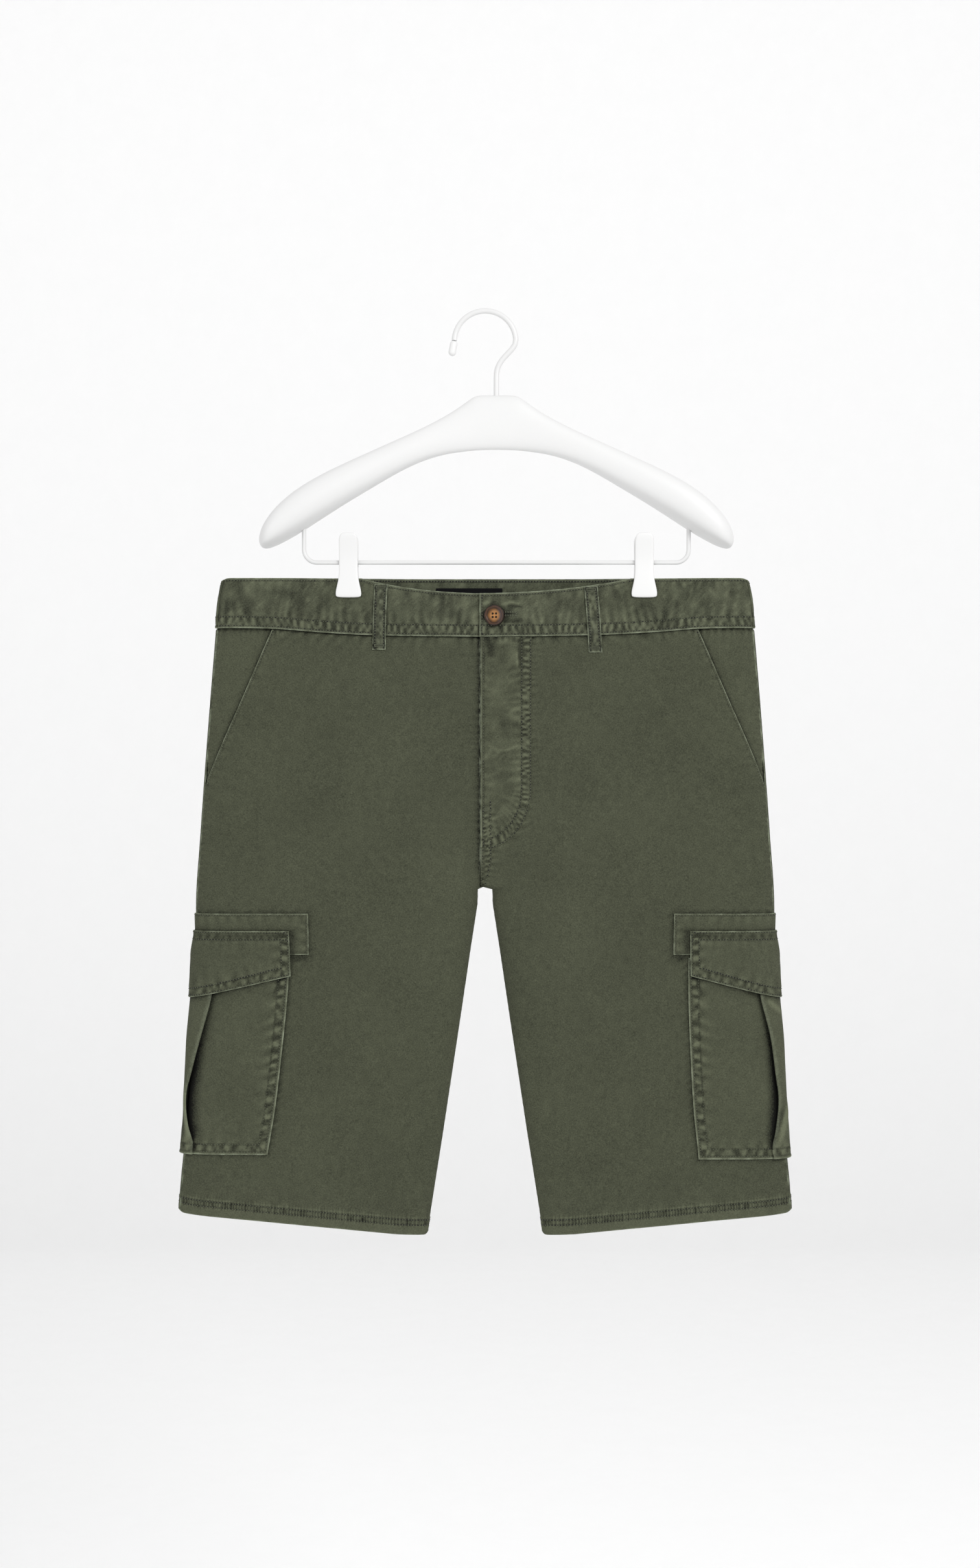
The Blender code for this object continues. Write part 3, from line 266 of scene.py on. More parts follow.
# Soft folds of the hanging cloth: face, x and z of both ends, breadth, height.
FOLDS = (
    (1, -14, -520, -92, -452, 11, -0.9),
    (1, 10, -522, 84, -470, 12, -0.8),
    (1, -20, -536, -70, -600, 16, 0.9),
    (1, 18, -538, 66, -606, 15, 0.8),
    (1, -11, -304, -9, -332, 3.6, -1.0),
    (1, 8, -306, 14, -322, 4.0, -0.6),
    (1, -120, -305, -138, -392, 13, 1.2),
    (1, -168, -318, -176, -402, 12, -0.7),
    (1, 140, -305, 158, -398, 13, 1.1),
    (1, 98, -312, 88, -380, 11, -0.6),
    (1, -160, -630, -176, -800, 26, 1.2),
    (1, -96, -585, -112, -770, 22, -1.1),
    (1, 158, -640, 178, -806, 26, 1.1),
    (1, 100, -590, 118, -780, 24, -1.0),
    (1, -210, -440, -196, -545, 14, -0.8),
    (1, 214, -446, 200, -548, 14, -0.7),
    (1, 60, -330, 72, -420, 16, 0.5),
    (1, -60, -360, -56, -450, 18, 0.5),
    (-1, -16, -522, -110, -440, 14, -1.4),
    (-1, 18, -524, 104, -446, 13, -1.3),
    (-1, -30, -540, -90, -620, 18, 1.2),
    (-1, 28, -542, 84, -612, 17, 1.1),
    (-1, -128, -300, -150, -400, 14, 1.3),
    (-1, 136, -300, 160, -410, 15, 1.2),
    (-1, -60, -305, -52, -370, 14, -0.8),
    (-1, 52, -305, 48, -384, 15, -0.8),
    (-1, -150, -620, -170, -806, 28, 1.2),
    (-1, 150, -610, 172, -800, 27, 1.3),
    (-1, -92, -600, -104, -760, 20, -1.0),
    (-1, 96, -610, 112, -780, 22, -1.0),
)


# ---------------------------------------------------------------- tables and curves


def column(rows, columns, name):
    return np.array([row[columns.index(name)] for row in rows], float)


def smooth(at, places, values):
    """Values on one smooth curve through a table's rows."""
    if places[0] > places[-1]:
        places, values = places[::-1], values[::-1]
    at = np.clip(np.asarray(at, float), places[0], places[-1])
    slopes = np.gradient(values, places, axis=0)
    k = np.clip(np.searchsorted(places, at) - 1, 0, len(places) - 2)
    span = places[k + 1] - places[k]
    t = (at - places[k]) / span
    if values.ndim > 1:
        span, t = span[..., None], t[..., None]
    start = (1 + 2 * t) * (1 - t) ** 2 * values[k] + t * (1 - t) ** 2 * span * slopes[k]
    end = t * t * (3 - 2 * t) * values[k + 1] - t * t * (1 - t) * span * slopes[k + 1]
    return start + end


def ease(value, start, end):
    t = np.clip((np.asarray(value, float) - start) / (end - start), 0, 1)
    return t * t * (3 - 2 * t)


def mix(a, b, share):
    return a + (b - a) * share


def bump(value, width):
    """1 where the value is 0, falling to 0 over about that width."""
    return np.exp(-((value / width) ** 2))


def least(*distances):
    """The smallest of several distances, place by place."""
    return reduce(np.minimum, distances)


def unit(vectors):
    return vectors / np.linalg.norm(vectors, axis=-1, keepdims=True)


def run_of(points):
    """How far along a line each of its points lies."""
    return np.concatenate([[0], np.cumsum(np.linalg.norm(np.diff(points, axis=0), axis=1))])


LOT_COUNT, LOT_STEP, ROW_STEP, SEED_STEP = 4099, 7, 613, 131
LOTS = np.random.default_rng(41).uniform(-1, 1, LOT_COUNT)


def wander(x, seed, row=0):
    """A smooth uneven curve between -1 and 1 that changes about once for each unit of x."""
    k = np.floor(x).astype(int)
    lot = k * LOT_STEP + row * ROW_STEP + seed * SEED_STEP
    return mix(LOTS[lot % LOT_COUNT], LOTS[(lot + LOT_STEP) % LOT_COUNT], ease(x - k, 0, 1))


def dapple(x, y, seed):
    """The same over a surface."""
    k = np.floor(y).astype(int)
    return mix(wander(x, seed, k), wander(x, seed, k + 1), ease(y - k, 0, 1))


# ---------------------------------------------------------------- the shorts' outer face
#
# A place on the shorts is a side, a distance w round from the side fold (front +, back -) and a
# height z.


def level(name, z):
    return smooth(z, column(SECTIONS, SECTION_COLUMNS, "z"), column(SECTIONS, SECTION_COLUMNS, name))


def table(rows):
    return np.array(rows, float).T


def face_of(w):
    """1 on the front of the shorts, -1 on the back."""
    return np.where(w >= 0, 1.0, -1.0)


def side_of(x):
    """1 on the wearer's left, -1 on the right."""
    return np.where(x < 0, -1.0, 1.0)


def droop_share(x):
    """How near a place lies to a clip: 0 midway between them, 1 at them."""
    end = np.where(x < DROOP_X, CLIP_X["right"] + CLIP_HALF_WIDTH, CLIP_X["left"] - CLIP_HALF_WIDTH)
    return np.clip((x - DROOP_X) / (end - DROOP_X), 0, 1)


def level_depth(face, z):
    return np.where(face > 0, level("front", z), level("back", z))


def cloth_depth(face, x, z):
    """How far the outer face stands from the middle plane, where the cloth lies flat."""
    gape = smooth(z, *table(GAPE)) * (1 - droop_share(x) ** 2) ** 2
    depth = level_depth(face, z) + np.where(face > 0, gape, 0)
    held = ease(z, PINCH_END_Z, PINCH_TOP_Z)
    for clip_x in CLIP_X.values():
        beside = np.maximum(np.abs(x - clip_x) - CLIP_HALF_WIDTH - 1.0, 0)
        depth = mix(depth, PINCHED_DEPTH, held * bump(beside, PINCH_WIDTH))
    return depth


def inner_edge(side, face, z):
    """Distance out from the middle of the rise seam or, lower down, of the inseam."""
    heights, gaps = table(LEG_GAP)
    gap = np.interp(-z, -heights, gaps)
    rise = np.where(face > 0, side * CENTRE_SEAM_X, 0.0) + HALF_GAP
    return mix(rise, gap, np.clip((CROTCH_Z - z) / CROTCH_ARCH, 0, 1))


def inseam_turn(z):
    return np.clip((TURN_START_Z - z) / (TURN_START_Z - CROTCH_Z), 0, 1) ** 1.6


def flat_reach(face, z):
    """The distance w at which the cloth would meet the middle plane x = 0."""
    edge = level("edge", z)
    return np.hypot(edge, level_depth(face, z)) + level("half_width", z) - edge


def flat_x(side, face, w, z):
    """The x of a place, if the cloth lay flat."""
    return side * (flat_reach(face, z) - np.abs(w))


def girth(side, face, z):
    """The distance w at the middle edge of the cloth."""
    return flat_reach(face, z) - inner_edge(side, face, z)


def skin(side, w, z):
    """Points of the outer face, in millimetres."""
    face, reach = face_of(w), np.abs(w)
    edge, half, depth = level("edge", z), level("half_width", z), level_depth(face, z)
    chord = np.hypot(edge, depth)
    c = np.minimum(reach, chord)
    squares = edge**2 - depth**2
    inside = np.maximum(edge**4 - squares * (edge**2 + depth**2 - c**2), 0)
    cosine = (edge**2 - np.sqrt(inside)) / squares
    sine = np.sqrt(np.clip(1 - cosine**2, 0, 1))
    out = half - edge * (1 - cosine) - np.maximum(reach - chord, 0)
    turn = inseam_turn(z)
    total = girth(side, face, z)
    roll = np.clip((reach - (total - INSEAM_ROLL)) / INSEAM_ROLL, 0, 1) * (turn > 0)
    angle = roll * math.pi / 2
    rolled = INSEAM_ROLL * mix(1 - roll, 1 - np.sin(angle), turn)
    out = np.where(roll > 0, inner_edge(side, face, z) + rolled, out)
    left = 1 - turn * (1 - np.cos(angle))
    y = cloth_depth(face, side * out, z) * sine * left + HALF_GAP * (1 - left)
    return np.stack([side * out, -face * y, z], -1)


def outward(side, w, z):
    """Unit normals of the outer face."""
    face, step = face_of(w), 0.2
    turning = inseam_turn(z) > 0
    total = girth(side, face, z)
    ahead = np.minimum(np.abs(w) + step, np.where(turning, total, np.inf)) * face
    behind = np.where(np.abs(w) >= step, (np.abs(w) - step) * face, w - step * face)
    along = skin(side, ahead, z) - skin(side, behind, z)
    shifts = turning & (np.abs(w) > total - INSEAM_ROLL)
    ends = []
    for end in (z + step, z - step):
        moved = np.where(shifts, face * (np.abs(w) + girth(side, face, end) - total), w)
        ends.append(skin(side, moved, end))
    return unit(np.cross(ends[0] - ends[1], along) * (side * face)[..., None])


def front_band_top(x):
    return BACK_BAND_TOP_Z - DROOP * (1 - droop_share(x) ** 2)


def front_band_low(x):
    return smooth(np.abs(x), *table(FRONT_LOW))


def hem_z(x):
    return np.interp(np.abs(x), (HEM_INNER_X, HEM_OUTER_X), (HEM_INNER_Z, HEM_OUTER_Z))


def mouth_w(z):
    down = np.clip((BACK_BAND_LOW_Z - z) / (BACK_BAND_LOW_Z - MOUTH_END_Z), 0, 1)
    return mix(MOUTH_TOP_W, SIDE_SEAM, down)


def soft_folds(side, w, z):
    """Large soft folds of the hanging cloth, which every layer follows."""
    face = face_of(w)
    x = flat_x(side, face, w, z)
    relief = 0.35 * dapple(x / 42.0, z / 55.0, 3) + 0.12 * dapple(x / 13.0, z / 19.0, 4)
    for at, x0, z0, x1, z1, breadth, height in FOLDS:
        length = math.hypot(x1 - x0, z1 - z0)
        ux, uz = (x1 - x0) / length, (z1 - z0) / length
        along = ((x - x0) * ux + (z - z0) * uz) / length
        across = (x - x0) * uz - (z - z0) * ux
        bend = across + 0.12 * length * np.sin(along * 2.6 + x0)
        fade = ease(along, -0.25, 0.25) * ease(along, 1.3, 0.7)
        relief = relief + (face == at) * height * bump(bend, breadth) * fade
    # The cloth keeps its exact line where pieces meet.
    rim = least(ease(np.abs(w), 2.0, 18.0), ease(girth(side, face, z) - np.abs(w), 1.0, 12.0))
    top = np.where(face > 0, front_band_low(x), BACK_BAND_LOW_Z)
    return relief * rim * ease(top - z, -2.0, 16.0)


# ---------------------------------------------------------------- relief of sewn cloth


def ripple(s, seed, spacing):
    """Uneven ripples along a seam, about 0: narrow crests, broad hollows."""
    phase = s / spacing + 0.5 * wander(s / (2.3 * spacing), seed)
    crest = (0.5 + 0.5 * np.cos(2 * math.pi * phase)) ** 1.3
    return (crest - 0.42) * np.clip(0.9 + 0.45 * wander(s / (1.4 * spacing), seed + 7), 0.3, 1.35)


def contact_shadow(d):
    """Painted contact shadow: 1 at and under an edge that lies on the cloth, fading with the distance
    from it.
    """
    return np.exp(-np.maximum(d, 0) / CONTACT)


def tone_of(relief):
    """How much paler than plain cloth a ridge is; hollows are darker, but less so."""
    return np.clip(relief / TONE_RELIEF, TONE_LOWEST, 1)


def sewn(d, s, lines, height, seed, reach=6.0, spacing=BAND_RIPPLES):
    """Relief at a distance d from the edge of cloth with rows of stitches at those distances.

    The thread draws the cloth up into ripples between the rows and past them, and lies in a groove.
    """
    first, last = lines[0], lines[-1]
    past = np.maximum(d - last, 0)
    slant = 0.35 * past * wander(s / (4 * spacing), seed + 3)
    beyond = ripple(s + slant, seed + 1, 1.4 * spacing) + 0.12 + 0.1 * dapple(s / 3.0, d / 3.0, seed)
    relief = 1.1 * beyond * (1 - bump(past, 1.2)) * np.exp(-past / reach)
    if last > first:
        # Two trains of ripples lean across each other, so that no two ridges are alike.
        inner = ease(d, first - 0.8, first + 2.0) * ease(d, last + 2.2, last - 1.6)
        across = RIPPLE_LEAN * (d - (first + last) / 2)
        cross = s + 0.5 * wander(d / 2.4 + s / 9.0, seed + 4)
        trains = ripple(cross + across, seed, spacing)
        trains = trains + ripple(cross - across, seed + 9, 1.17 * spacing)
        relief = relief + (1.15 * trains - 0.04) * inner
    relief = relief * height + 0.12 * ease(first - d, -0.4, 0.6)
    for line in lines:
        relief = relief - GROOVE_DEPTH * bump(d - line, GROOVE_WIDTH)
    return relief


def rounded(d, half, radius=0.65):
    """How much of half a wall's thickness a rounded edge takes off at a distance from the edge."""
    return 0.84 * half * (1 - np.sqrt(1 - (1 - np.clip(d / radius, 0, 1)) ** 2))


def wisps(x, z, seed, height):
    """Fine crossing creases of washed, doubled cloth."""
    bent = x + 3.0 * wander(z / 14.0, seed)
    fine = dapple((bent + 0.7 * z) / 9.0, (bent - 0.9 * z) / 3.6, seed + 1)
    broad = dapple(bent / 8.0, z / 10.0, seed + 2)
    return height * (np.clip(1.2 * np.abs(fine) ** 3, 0, 1) + 0.8 * broad - 0.2)


def short_fold(u, v, u0, v0, u1, v1, breadth):
    """1 along a line, falling to 0 beside it and past its ends."""
    length = math.hypot(u1 - u0, v1 - v0)
    along = ((u - u0) * (u1 - u0) + (v - v0) * (v1 - v0)) / length**2
    across = ((u - u0) * (v1 - v0) - (v - v0) * (u1 - u0)) / length
    return bump(across, breadth) * ease(along, -0.3, 0.2) * ease(along, 1.3, 0.8)


RIM = (0.0, 0.1, 0.3, 0.65)


def stations(length, near, far, coarse, fine=1.0):
    """Shares of a length: close at both rims, fine over a margin at each, coarser between."""
    head = [*RIM, *np.arange(RIM[-1] + 0.5, near, fine)]
    tail = np.array([*RIM, *np.arange(RIM[-1] + 0.5, far, fine)])
    middle = np.linspace(near, length - far, max(2, round((length - near - far) / coarse) + 1))
    return np.array([*head, *middle, *(length - tail[::-1])]) / length


# ---------------------------------------------------------------- shader building


class Socket:
    """A shader output that Python expressions on values can use."""

    def __init__(self, recipe, output):
        self.recipe, self.output = recipe, output

    def maths(self, operation, *values):
        return self.recipe.add("ShaderNodeMath", {"operation": operation}, dict(enumerate(values)))

    def __add__(self, other):
        return self.maths("ADD", self, other)

    def __sub__(self, other):
        return self.maths("SUBTRACT", self, other)

    def __rsub__(self, other):
        return self.maths("SUBTRACT", other, self)

    def __mul__(self, other):
        return self.maths("MULTIPLY", self, other)

    __radd__, __rmul__ = __add__, __mul__

    def sine(self):
        return self.maths("SINE", self)

    def held(self):
        """The value kept between 0 and 1."""
        return self.recipe.add("ShaderNodeClamp", {}, {"Value": self})


class Recipe:
    """A procedural material."""

    def __init__(self, name):
        self.material = bpy.data.materials.new(name)
        self.material.use_nodes = True
        self.tree = self.material.node_tree
        self.tree.nodes.clear()

    def add(self, kind, settings, inputs, output=0):
        node = self.tree.nodes.new(kind)
        for key, value in settings.items():
            if key == "stops":
                ramp = node.color_ramp
                while len(ramp.elements) < len(value):
                    ramp.elements.new(1.0)
                for stop, (at, colour) in zip(ramp.elements, value):
                    stop.position, stop.color = at, colour
            else:
                setattr(node, key, value)
        for key, value in inputs.items():
            if isinstance(value, Socket):
                self.tree.links.new(value.output, node.inputs[key])
            else:
                node.inputs[key].default_value = value
        return Socket(self, node.outputs[output])

    def place(self):
        return self.add("ShaderNodeTexCoord", {}, {}, "Object")

    def cloth_map(self):
        return self.add("ShaderNodeUVMap", {"uv_map": "cloth"}, {})

    def cloth_place(self, *scale):
        return self.add("ShaderNodeMapping", {}, {"Vector": self.cloth_map(), "Scale": (*scale, 1.0)})

    def cloth_axis(self, axis):
        """Metres along one axis of the cloth's own map."""
        return self.add("ShaderNodeSeparateXYZ", {}, {"Vector": self.cloth_map()}, axis)

    def attribute(self, name):
        return self.add("ShaderNodeAttribute", {"attribute_name": name}, {}, "Fac")

    def ramp(self, share, stops):
        return self.add("ShaderNodeValToRGB", {"stops": stops}, {"Fac": share})

    def noise(self, vector, scale, detail=2.0, roughness=0.55):
        """Noise about 0."""
        inputs = {"Vector": vector, "Scale": scale, "Detail": detail, "Roughness": roughness}
        return self.add("ShaderNodeTexNoise", {}, inputs) - 0.5

    def blend(self, a, b, share):
        return self.add("ShaderNodeMix", {"data_type": "RGBA"}, {0: share, 6: a, 7: b}, 2)

    def bump(self, height, distance, strength=1.0):
        inputs = {"Height": height, "Distance": distance, "Strength": strength}
        return self.add("ShaderNodeBump", {}, inputs)

    def finish(self, **inputs):
        named = {key.replace("_", " "): value for key, value in inputs.items()}
        shader = self.add("ShaderNodeBsdfPrincipled", {}, named)
        output = self.tree.nodes.new("ShaderNodeOutputMaterial")
        self.tree.links.new(shader.output, output.inputs["Surface"])
        return self.material


def scaled(colour, share):
    return tuple(min(1.0, c * share) for c in colour)


def tint(colour, share=1.0):
    """A colour made darker or paler, for a socket."""
    return (*scaled(colour, share), 1.0)


def tints(colour, *stops):
    """Stops of a ramp: each one's place and its share of the colour."""
    return [(at, tint(colour, share)) for at, share in stops]


def olive_twill(look):
    """Washed cotton twill: flecked grain, fine diagonal ribs, darker hollows, pale worn edges."""
    r = Recipe("olive_twill")
    place, tone, worn = r.place(), r.attribute("tone"), r.attribute("worn")
    grain = r.noise(place, 900.0, 3.0, 0.7)
    warp = r.noise(r.cloth_place(2300.0, 520.0), 1.0)
    weft = r.noise(r.cloth_place(480.0, 2100.0), 1.0)
    mottle = r.noise(place, 150.0, 3.0)
    cloud = r.noise(place, 16.0, 2.0)
    u, v = r.cloth_axis("X"), r.cloth_axis("Y")
    # Fine upright puckers where a hem is gathered by its stitches, about one to a stitch.
    uneven = r.noise(r.cloth_place(330.0, 60.0), 1.0, 1.0)
    pucker = (u * (2 * math.pi / look.stitch_pitch) + 9.0 * uneven).sine()
    puckers = (0.1 * pucker + 0.45 * uneven) * r.attribute("gathered")
    woven = 0.75 * grain + 0.38 * warp + 0.38 * weft + 0.22 * mottle + 0.16 * cloud
    shade = 0.5 + woven + 0.42 * tone + 1.5 * puckers
    stops = tints(look.cloth_colour, (0.0, 0.05), (0.2, 0.42), (0.5, 1.0), (1.0, 2.0))
    frayed = (worn * (0.85 + 2.4 * mottle + 1.6 * grain)).held()
    colour = r.blend(r.ramp(shade.held(), stops), tint(look.worn_colour), frayed)
    rib = ((u * 0.5 + v * 0.87) * (2 * math.pi / look.rib_pitch)).sine()
    fuzz = r.noise(place, 330.0, 3.0)
    height = 0.4 * rib + 1.2 * grain + 1.4 * fuzz + 2.2 * mottle + 9.0 * puckers
    normal = r.bump(height, 0.00016, 0.8)
    return r.finish(Base_Color=colour, Roughness=0.93, Specular_IOR_Level=0.18, Normal=normal)


def olive_thread(look):
    """Spun sewing thread, with painted shade where it dives into the cloth."""
    r = Recipe("olive_thread")
    grain = r.noise(r.place(), 2600.0, 2.0)
    shade = (0.5 + 0.5 * grain + 0.5 * r.attribute("tone")).held()
    colour = r.ramp(shade, tints(look.thread_colour, (0.0, 0.06), (0.5, 1.0), (1.0, 1.6)))
    return r.finish(Base_Color=colour, Roughness=0.8, Normal=r.bump(grain, 0.00008))


def woven_label(look):
    """Close black tape with fine level ribs."""
    r = Recipe("woven_label")
    rib = (r.cloth_axis("Y") * (2 * math.pi / LABEL_RIB)).sine()
    grain = r.noise(r.place(), 1500.0)
    share = (0.5 + 0.3 * rib + grain).held()
    colour = r.blend(tint(look.label_colour, 0.6), tint(look.label_colour, 1.7), share)
    normal = r.bump(rib + grain, 0.00006)
    return r.finish(Base_Color=colour, Roughness=0.8, Specular_IOR_Level=0.06, Normal=normal)


def horn(look):
    """Polished horn: amber in the middle, nearly black round the rim, with cloudy streaks and a painted
    highlight and sheen on the rim.
    """
    r = Recipe("horn")
    rim = r.attribute("tone")
    streak = r.noise(r.place(), 260.0, 4.0)
    cloud = r.noise(r.place(), 90.0, 2.0)
    stops = tints(look.horn_colour, (0.0, 1.0), (0.4, 0.62), (0.6, 0.2))
    # The pale step at 0.83 is a painted highlight where the raised rim crests.
    stops += tints(look.horn_rim_colour, (0.72, 1.0), (0.83, 3.2), (0.9, 1.2), (1.0, 0.4))
    colour = r.ramp((rim + 0.22 * streak + 0.1 * cloud).held(), stops)
    # Painted sheen: a violet-grey reflection laid over the rim on one side of the button.
    side = ((r.attribute("clouded") - 0.25) * 3.0 + 1.5 * cloud).held()
    sheen_ring = (1.0 - (rim - 0.66) * (rim - 0.66) * 30.0).held()
    colour = r.blend(colour, tint(look.horn_sheen_colour), side * sheen_ring * 0.45)
    named = {"Base_Color": colour, "Roughness": 0.3 + 0.2 * streak, "Specular_IOR_Level": 0.22}
    return r.finish(**named, Coat_Weight=0.04, Normal=r.bump(streak, 0.00005))


def white_coat(name, colour, roughness, grain_scale, grain_depth):
    """A smooth white coat with a faint unevenness."""
    r = Recipe(name)
    cloud = r.noise(r.place(), 14.0, 2.0)
    grain = r.noise(r.place(), grain_scale, 3.0)
    share = (0.5 + 1.2 * cloud + 0.6 * grain).held()
    colour = r.blend(tint(colour, 0.975), tint(colour), share)
    rough = roughness + 0.12 * grain
    return r.finish(Base_Color=colour, Roughness=rough, Normal=r.bump(grain, grain_depth))


def finish(name):
    """The named material, made the first time that it is asked for."""
    if name in bpy.data.materials:
        return bpy.data.materials[name]
    look, hanger = bpy.context.scene.shorts_cloth, bpy.context.scene.shorts_hanger
    white = tuple(hanger.coat_colour)
    makers = {
        "olive_twill": lambda: olive_twill(look),
        "olive_thread": lambda: olive_thread(look),
        "woven_label": lambda: woven_label(look),
        "horn": lambda: horn(look),
        "white_lacquer": lambda: white_coat(name, white, hanger.lacquer_roughness, 420.0, 0.00005),
        "white_metal": lambda: white_coat(name, scaled(white, 0.97), 0.32, 900.0, 0.00003),
        "white_plastic": lambda: white_coat(name, scaled(white, 1.03), 0.38, 700.0, 0.00002),
    }
    return makers[name]()


# ---------------------------------------------------------------- making cloth


def keep(obj, slot, *nodes):
    """Puts a finished piece on the frame, in place of the nodes that it stands for."""
    if not obj.data.polygons:
        raise RuntimeError(f"{obj.name} was left without faces")
    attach(obj, "root")
    if nodes:
        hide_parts(*nodes)
    return obj


def mark(obj, **values):
    """Gives an object's points the named values that its finish reads."""
    for name, value in values.items():
        made = obj.data.attributes.new(name, "FLOAT", "POINT")
        made.data.foreach_set("value", np.asarray(value, np.float32).ravel())


def mesh_object(name, points, faces, finish_name, **values):
    """An object from points in millimetres, with named values at its points."""
    mesh = bpy.data.meshes.new(name)
    mesh.from_pydata((points * MM).tolist(), [], faces.tolist())
    mesh.shade_smooth()
    mesh.materials.append(finish(finish_name))
    obj = bpy.data.objects.new(name, mesh)
    bpy.context.scene.collection.objects.link(obj)
    mark(obj, **values)
    return obj


def wall(node, outer, inner, u, v, tone, worn, finish_name="olive_twill"):
    """The closed wall that stands for a node, between two grids of points, (rows, columns, 3)."""
    back = outer[..., 0].size
    number = np.arange(back).reshape(outer.shape[:2])
    quads = np.stack([number[:-1, :-1], number[:-1, 1:], number[1:, 1:], number[1:, :-1]], -1)
    quads = quads.reshape(-1, 4)
    rim = np.concatenate([number[0], number[1:, -1], number[-1, -2::-1], number[-2:0:-1, 0]])
    ahead = np.roll(rim, -1)
    sides = np.stack([ahead, rim, rim + back, ahead + back], -1)
    faces = np.concatenate([quads, quads[:, ::-1] + back, sides])
    points = np.concatenate([outer.reshape(-1, 3), inner.reshape(-1, 3)])
    a, b, c = (points[quads[:, k]] for k in range(3))
    facing = np.cross(b - a, c - a) * (a - points[quads[:, 0] + back])
    if facing.sum() < 0:
        faces = faces[:, ::-1]
    values = {"tone": np.tile(tone.ravel(), 2), "worn": np.tile(worn.ravel(), 2)}
    obj = mesh_object(f"{node}_cloth", points, faces, finish_name, **values)
    place = np.stack([u.ravel(), v.ravel()], -1)[faces.ravel() % back]
    layer = obj.data.uv_layers.new(name="cloth")
    layer.data.foreach_set("uv", (place * MM).astype(np.float32).ravel())
    return obj


def round_side(side):
    """Places on a piece that wraps one side of the shorts: distance round and height.

    The hem curves up a little where it turns round the side fold and the inseam.
    """

    def ground(w, z):
        from_middle = girth(side, face_of(w), z) - np.abs(w)
        corner = bump(w, CORNER_ROUND) + bump(from_middle, CORNER_ROUND)
        hem = np.where(np.abs(w) < from_middle, HEM_OUTER_Z, HEM_INNER_Z)
        rise = HEM_CORNER * corner * ease(z - hem, CORNER_HEIGHT, 0.0)
        return np.full(np.shape(w), side), w, z + rise

    return ground


def flat_on(face):
    """Places on a flat piece of the front (1) or back (-1): x and height."""
    return lambda x, z: (side_of(x), face * (flat_reach(face, z) - np.abs(x)), z)


def along_band(face):
    """Places on the waistband: x, followed round the side fold, and height."""
    top_reach = flat_reach(face, BACK_BAND_TOP_Z)

    def ground(x, z):
        reach = flat_reach(face, z)
        slip = (reach - top_reach) * ease(np.abs(x), BAND_SLIP_X, top_reach - 5.0)
        w = face * (reach - np.abs(x) - slip)
        # The upper edge dips where it turns round the side fold.
        at_top = ease(z, BACK_BAND_TOP_Z - CORNER_HEIGHT, BACK_BAND_TOP_Z)
        return side_of(x), w, z - BAND_CORNER * bump(w, CORNER_ROUND) * at_top

    return ground


class Cloth:
    """One layer of cloth: how its places lie on the shorts, how far out, and how it is sewn.

    Its lift, thickness, relief and shade are numbers, or functions of a place; the shade is painted
    shadow, and on the panels also their own darker tone.
    """

    def __init__(self, ground, lift, thick, relief, shade=0.0):
        self.ground = ground
        self.values = {"lift": lift, "thick": thick, "relief": relief, "shade": shade}

    def read(self, name, u, v):
        value = self.values[name]
        return value(u, v) if callable(value) else value

    def base(self, u, v):
        """Points and normals of the shorts' outer face, and how far out the smooth cloth lies."""
        side, w, z = self.ground(u, v)
        lift = self.read("lift", u, v) + soft_folds(side, w, z)
        return skin(side, w, z), outward(side, w, z), lift

    def at(self, u, v, rise=0.0):
        """Points and normals of the cloth's outer face."""
        u, v = np.broadcast_arrays(np.asarray(u, float), np.asarray(v, float))
        points, normals, lift = self.base(u, v)
        return points + normals * (lift + self.read("relief", u, v) + rise)[..., None], normals

    def make(self, node, u, v, edge, rests_on, worn=0.0, frayed=None, slot="cloth",
             finish_name="olive_twill"):
        """The closed wall over a grid of places; edge is each place's distance from the rim.

        The rim is frayed all round, or only where the distances given as frayed are small.
        """
        points, normals, lift = self.base(u, v)
        relief, thick = self.read("relief", u, v), self.read("thick", u, v)
        off = rounded(edge, thick / 2)
        outer = points + normals * (lift + relief - off)[..., None]
        inner = points + normals * (lift + relief - thick + off)[..., None]
        fray = bump((edge if frayed is None else frayed) - 0.15, 0.44)
        fray = fray * (0.72 + 0.7 * dapple(u / 4.0, v / 4.0, 5))
        worn = np.clip(worn + bpy.context.scene.shorts_cloth.edge_wear * fray, 0, 1)
        # Painted shadow, and the panels' own darker tone, are taken off the tone here.
        tone = tone_of(relief) - self.read("shade", u, v)
        obj = keep(wall(node, outer, inner, u, v, tone, worn, finish_name), slot, node)
        return hang(obj, points + normals * lift[..., None])


def hang(obj, points):
    """Returns a sheet as it is; the diagonals of its cloth before it was sewn and rippled are worked
    out, but nothing uses them.
    """
    a, b = points[1:, 1:] - points[:-1, :-1], points[1:, :-1] - points[:-1, 1:]
    return obj


# ---------------------------------------------------------------- making stitches


